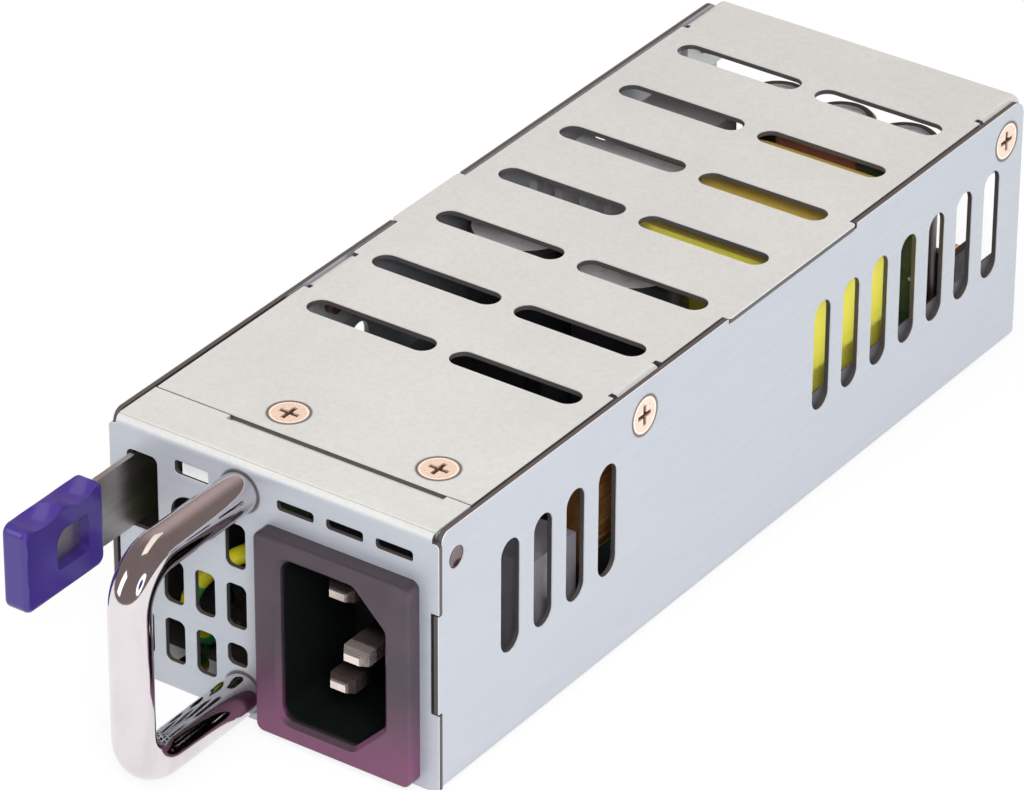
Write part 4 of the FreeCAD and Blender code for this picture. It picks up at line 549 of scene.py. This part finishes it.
# ---- Parts with two finishes ------------------------------------------------------------------
FUSE_TUBE, FUSE_CAP = (0.72, 0.7, 0.66), (0.78, 0.76, 0.72)
fuse = Paint("fuse", rough=0.3)
fuse_low, fuse_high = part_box("fuse")
fuse_half = (fuse_high.x - fuse_low.x) / 2
cap = fuse.ramp(fuse.off_middle("X", fuse_low.x, fuse_high.x),
                fuse_half - 5.2 * MM, fuse_half - 4.9 * MM)
fuse.colour(fuse.mix(cap, FUSE_TUBE, FUSE_CAP))
fuse.metal(cap)
fuse.relief(fuse.noise(900, detail=2, rough=0.5), 0.02 * MM, strength=0.5)
give(fuse, "fuse")

TRANSISTOR_CASE, TRANSISTOR_METAL = (0.02, 0.02, 0.022), (0.7, 0.69, 0.67)
power = Paint("power_transistor", rough=0.4)
transistor_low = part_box("transistors")[0]
tab = power.fall(power.axis("Y"), transistor_low.y + 1.25 * MM, transistor_low.y + 1.35 * MM)
leg = power.fall(power.axis("Z"), transistor_low.z + 3.4 * MM, transistor_low.z + 3.6 * MM)
bare = power.math("MAXIMUM", tab, leg)
power.colour(power.mix(bare, TRANSISTOR_CASE, TRANSISTOR_METAL))
power.metal(bare)
power.relief(power.noise(2500, detail=2, rough=0.5), 0.02 * MM, strength=0.5)
give(power, "transistors")

SMALL_GREEN, SMALL_BLUE, SMALL_DARK = (0.02, 0.28, 0.1), (0.02, 0.09, 0.42), (0.02, 0.05, 0.2)
small = Paint("small_parts", rough=0.3)
small_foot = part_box("control_board_parts")[0].z
upper = small.ramp(small.axis("Z"), small_foot + 4.5 * MM, small_foot + 4.7 * MM)
small.colour(small.mottled(small.noise(500, detail=2, rough=0.5),
                           small.mix(upper, SMALL_GREEN, SMALL_BLUE), SMALL_DARK, (0.5, 0.55)))
small.relief(small.noise(900, detail=2, rough=0.5), 0.03 * MM, strength=0.5)
give(small, "control_board_parts")

# ---- Floor ------------------------------------------------------------------------------------
FLOOR_SIZE, FLOOR_DROP = 6.0, 0.2 * MM
FLOOR_DARKER, FLOOR_LIGHTER = (0.66, 0.66, 0.66), (0.68, 0.68, 0.68)
FLOOR_GLOW, GLOW_SHARE = 1.06, 0.8
WHITE = (1, 1, 1, 1)
DIRECT_RAYS = ("Is Camera Ray", "Is Glossy Ray", "Is Transmission Ray")

bpy.ops.mesh.primitive_plane_add(size=FLOOR_SIZE, location=(0, 0, -FLOOR_DROP))
floor = bpy.context.object
floor.name = "floor"
ground = Paint("floor", rough=0.9, spec=0.1)
ground.colour(ground.mix(ground.noise(3, detail=2, rough=0.5), FLOOR_DARKER, FLOOR_LIGHTER))
path = ground.node("ShaderNodeLightPath")
seen = path.outputs[DIRECT_RAYS[0]]
for ray in DIRECT_RAYS[1:]:
    seen = ground.math("MAXIMUM", seen, path.outputs[ray])
blend = ground.node("ShaderNodeMixShader")
for socket, value in enumerate((ground.times(seen, GLOW_SHARE), ground.bsdf.outputs[0],
                                ground.glow(WHITE, FLOOR_GLOW))):
    ground.set(blend, socket, value)
ground.output(blend.outputs[0])
floor.data.materials.append(ground.mat)

# ---- World: soft and pale for dull surfaces, white for the rays that show it ------------------
SKY, SKY_STRENGTH = (0.95, 0.97, 1.0, 1.0), 0.28
BACKDROP_STRENGTH = 1.0

world = bpy.data.worlds.new("studio")
bpy.context.scene.world = world
world.use_nodes = True
sky = world.node_tree
plain = sky.nodes["Background"]
bright = sky.nodes.new("ShaderNodeBackground")
for background, colour, strength in ((plain, SKY, SKY_STRENGTH),
                                     (bright, WHITE, BACKDROP_STRENGTH)):
    background.inputs[0].default_value = colour
    background.inputs[1].default_value = strength
path = sky.nodes.new("ShaderNodeLightPath")
seen = path.outputs[DIRECT_RAYS[0]]
for ray in DIRECT_RAYS[1:]:
    either = sky.nodes.new("ShaderNodeMath")
    either.operation = "MAXIMUM"
    sky.links.new(seen, either.inputs[0])
    sky.links.new(path.outputs[ray], either.inputs[1])
    seen = either.outputs[0]
choose = sky.nodes.new("ShaderNodeMixShader")
for socket, source in enumerate((seen, plain.outputs[0], bright.outputs[0])):
    sky.links.new(source, choose.inputs[socket])
sky.links.new(choose.outputs[0], sky.nodes["World Output"].inputs[0])

# ---- Lamps ------------------------------------------------------------------------------------
HANDLE = (-0.005, -0.085, 0.02)
RING = (1.04, -0.57, 0.38)
STRIP = (-0.135, 0.185, 1.1)


def softbox(name, place, aim, size, power, colour, shape="RECTANGLE", mirrored=False):
    """Area lamp aimed at a point, which shiny surfaces show only if it is mirrored."""
    data = bpy.data.lights.new(name, "AREA")
    data.shape = shape
    data.size, data.size_y = size
    data.energy = power
    data.color = colour
    lamp = bpy.data.objects.new(name, data)
    bpy.context.scene.collection.objects.link(lamp)
    lamp.location = place
    lamp.rotation_euler = (Vector(aim) - Vector(place)).to_track_quat("-Z", "Y").to_euler()
    lamp.visible_glossy = mirrored


softbox("top_box", (-0.15, -0.25, 1.1), (0, 0, 0), (1.2, 1.2), 11.4, (1.0, 0.965, 0.91))
softbox("near_camera_box", (0.57, -0.66, 0.69), (0, 0, 0.02), (0.35, 0.35), 8.8,
        (0.94, 0.965, 1.0))
softbox("low_side_box", (0.95, 0.2, 0.1), (0.026, 0.03, 0.02), (0.6, 0.18), 4.1,
        (0.88, 0.93, 1.0))
softbox("ring_box", RING, HANDLE, (0.6, 0.6), 2.0, (0.78, 0.87, 1.0), shape="DISK",
        mirrored=True)
softbox("front_box", (-0.68, -1.07, 0.54), HANDLE, (0.5, 0.75), 2.0, (0.95, 0.97, 1.0),
        mirrored=True)

# ---- Cards that only reflections show ---------------------------------------------------------
# The photograph's chrome shows a dim warm room above the floor, a ring shaped lamp and a
# soft strip overhead.
DARK_SHARE = 0.42
ROOM_COLOUR, ROOM_RADIUS = (0.5, 0.4, 0.38), 1.9
ROOM_LIGHTEST, ROOM_FADE = (-0.8, 1.35, 1.05), (0.2, 1.5)
HUB_COLOUR, HUB_RADIUS, HUB_AHEAD = (0.12, 0.09, 0.26), 0.15, 0.03
STRIP_COLOUR, STRIP_WIDTH = (1.7, 1.6, 1.4), 0.4


def card(maker, name, **shape):
    """Mesh that shows only in reflections."""
    maker(**shape)
    made = bpy.context.object
    made.name = name
    for sort in ("camera", "diffuse", "transmission", "shadow"):
        setattr(made, "visible_" + sort, False)
    return made


def dim(name, obj, colour, around=None):
    """A dim glow in patches, or one that darkens away from a point if that is given."""
    p = Paint(name)
    away = p.noise(0.5, detail=0, rough=0.5)
    if around:
        gap = p.node("ShaderNodeVectorMath", operation="DISTANCE")
        p.set(gap, 0, p.place)
        p.set(gap, 1, around)
        away = p.ramp(gap.outputs["Value"], *ROOM_FADE)
    p.output(p.glow(p.mix(away, colour, shade(colour, DARK_SHARE))))
    obj.data.materials.append(p.mat)


def facing(toward):
    return toward.to_track_quat("Z", "Y").to_euler()


room = card(bpy.ops.mesh.primitive_uv_sphere_add, "dim_room", radius=ROOM_RADIUS,
            segments=48, ring_count=24)
dim("dim_room", room, ROOM_COLOUR, around=ROOM_LIGHTEST)
toward = (Vector(HANDLE) - Vector(RING)).normalized()
hub = card(bpy.ops.mesh.primitive_circle_add, "ring_hub", radius=HUB_RADIUS, vertices=32,
           fill_type="NGON", location=Vector(RING) + toward * HUB_AHEAD,
           rotation=facing(toward))
dim("ring_hub", hub, HUB_COLOUR)
strip = card(bpy.ops.mesh.primitive_plane_add, "overhead_strip", size=1.0, location=STRIP,
             rotation=facing(Vector(HANDLE) - Vector(STRIP)))
strip.scale = (STRIP_WIDTH, 1.0, 1.0)
dim("overhead_strip", strip, STRIP_COLOUR)
bpy.context.scene.view_settings.view_transform = "Standard"
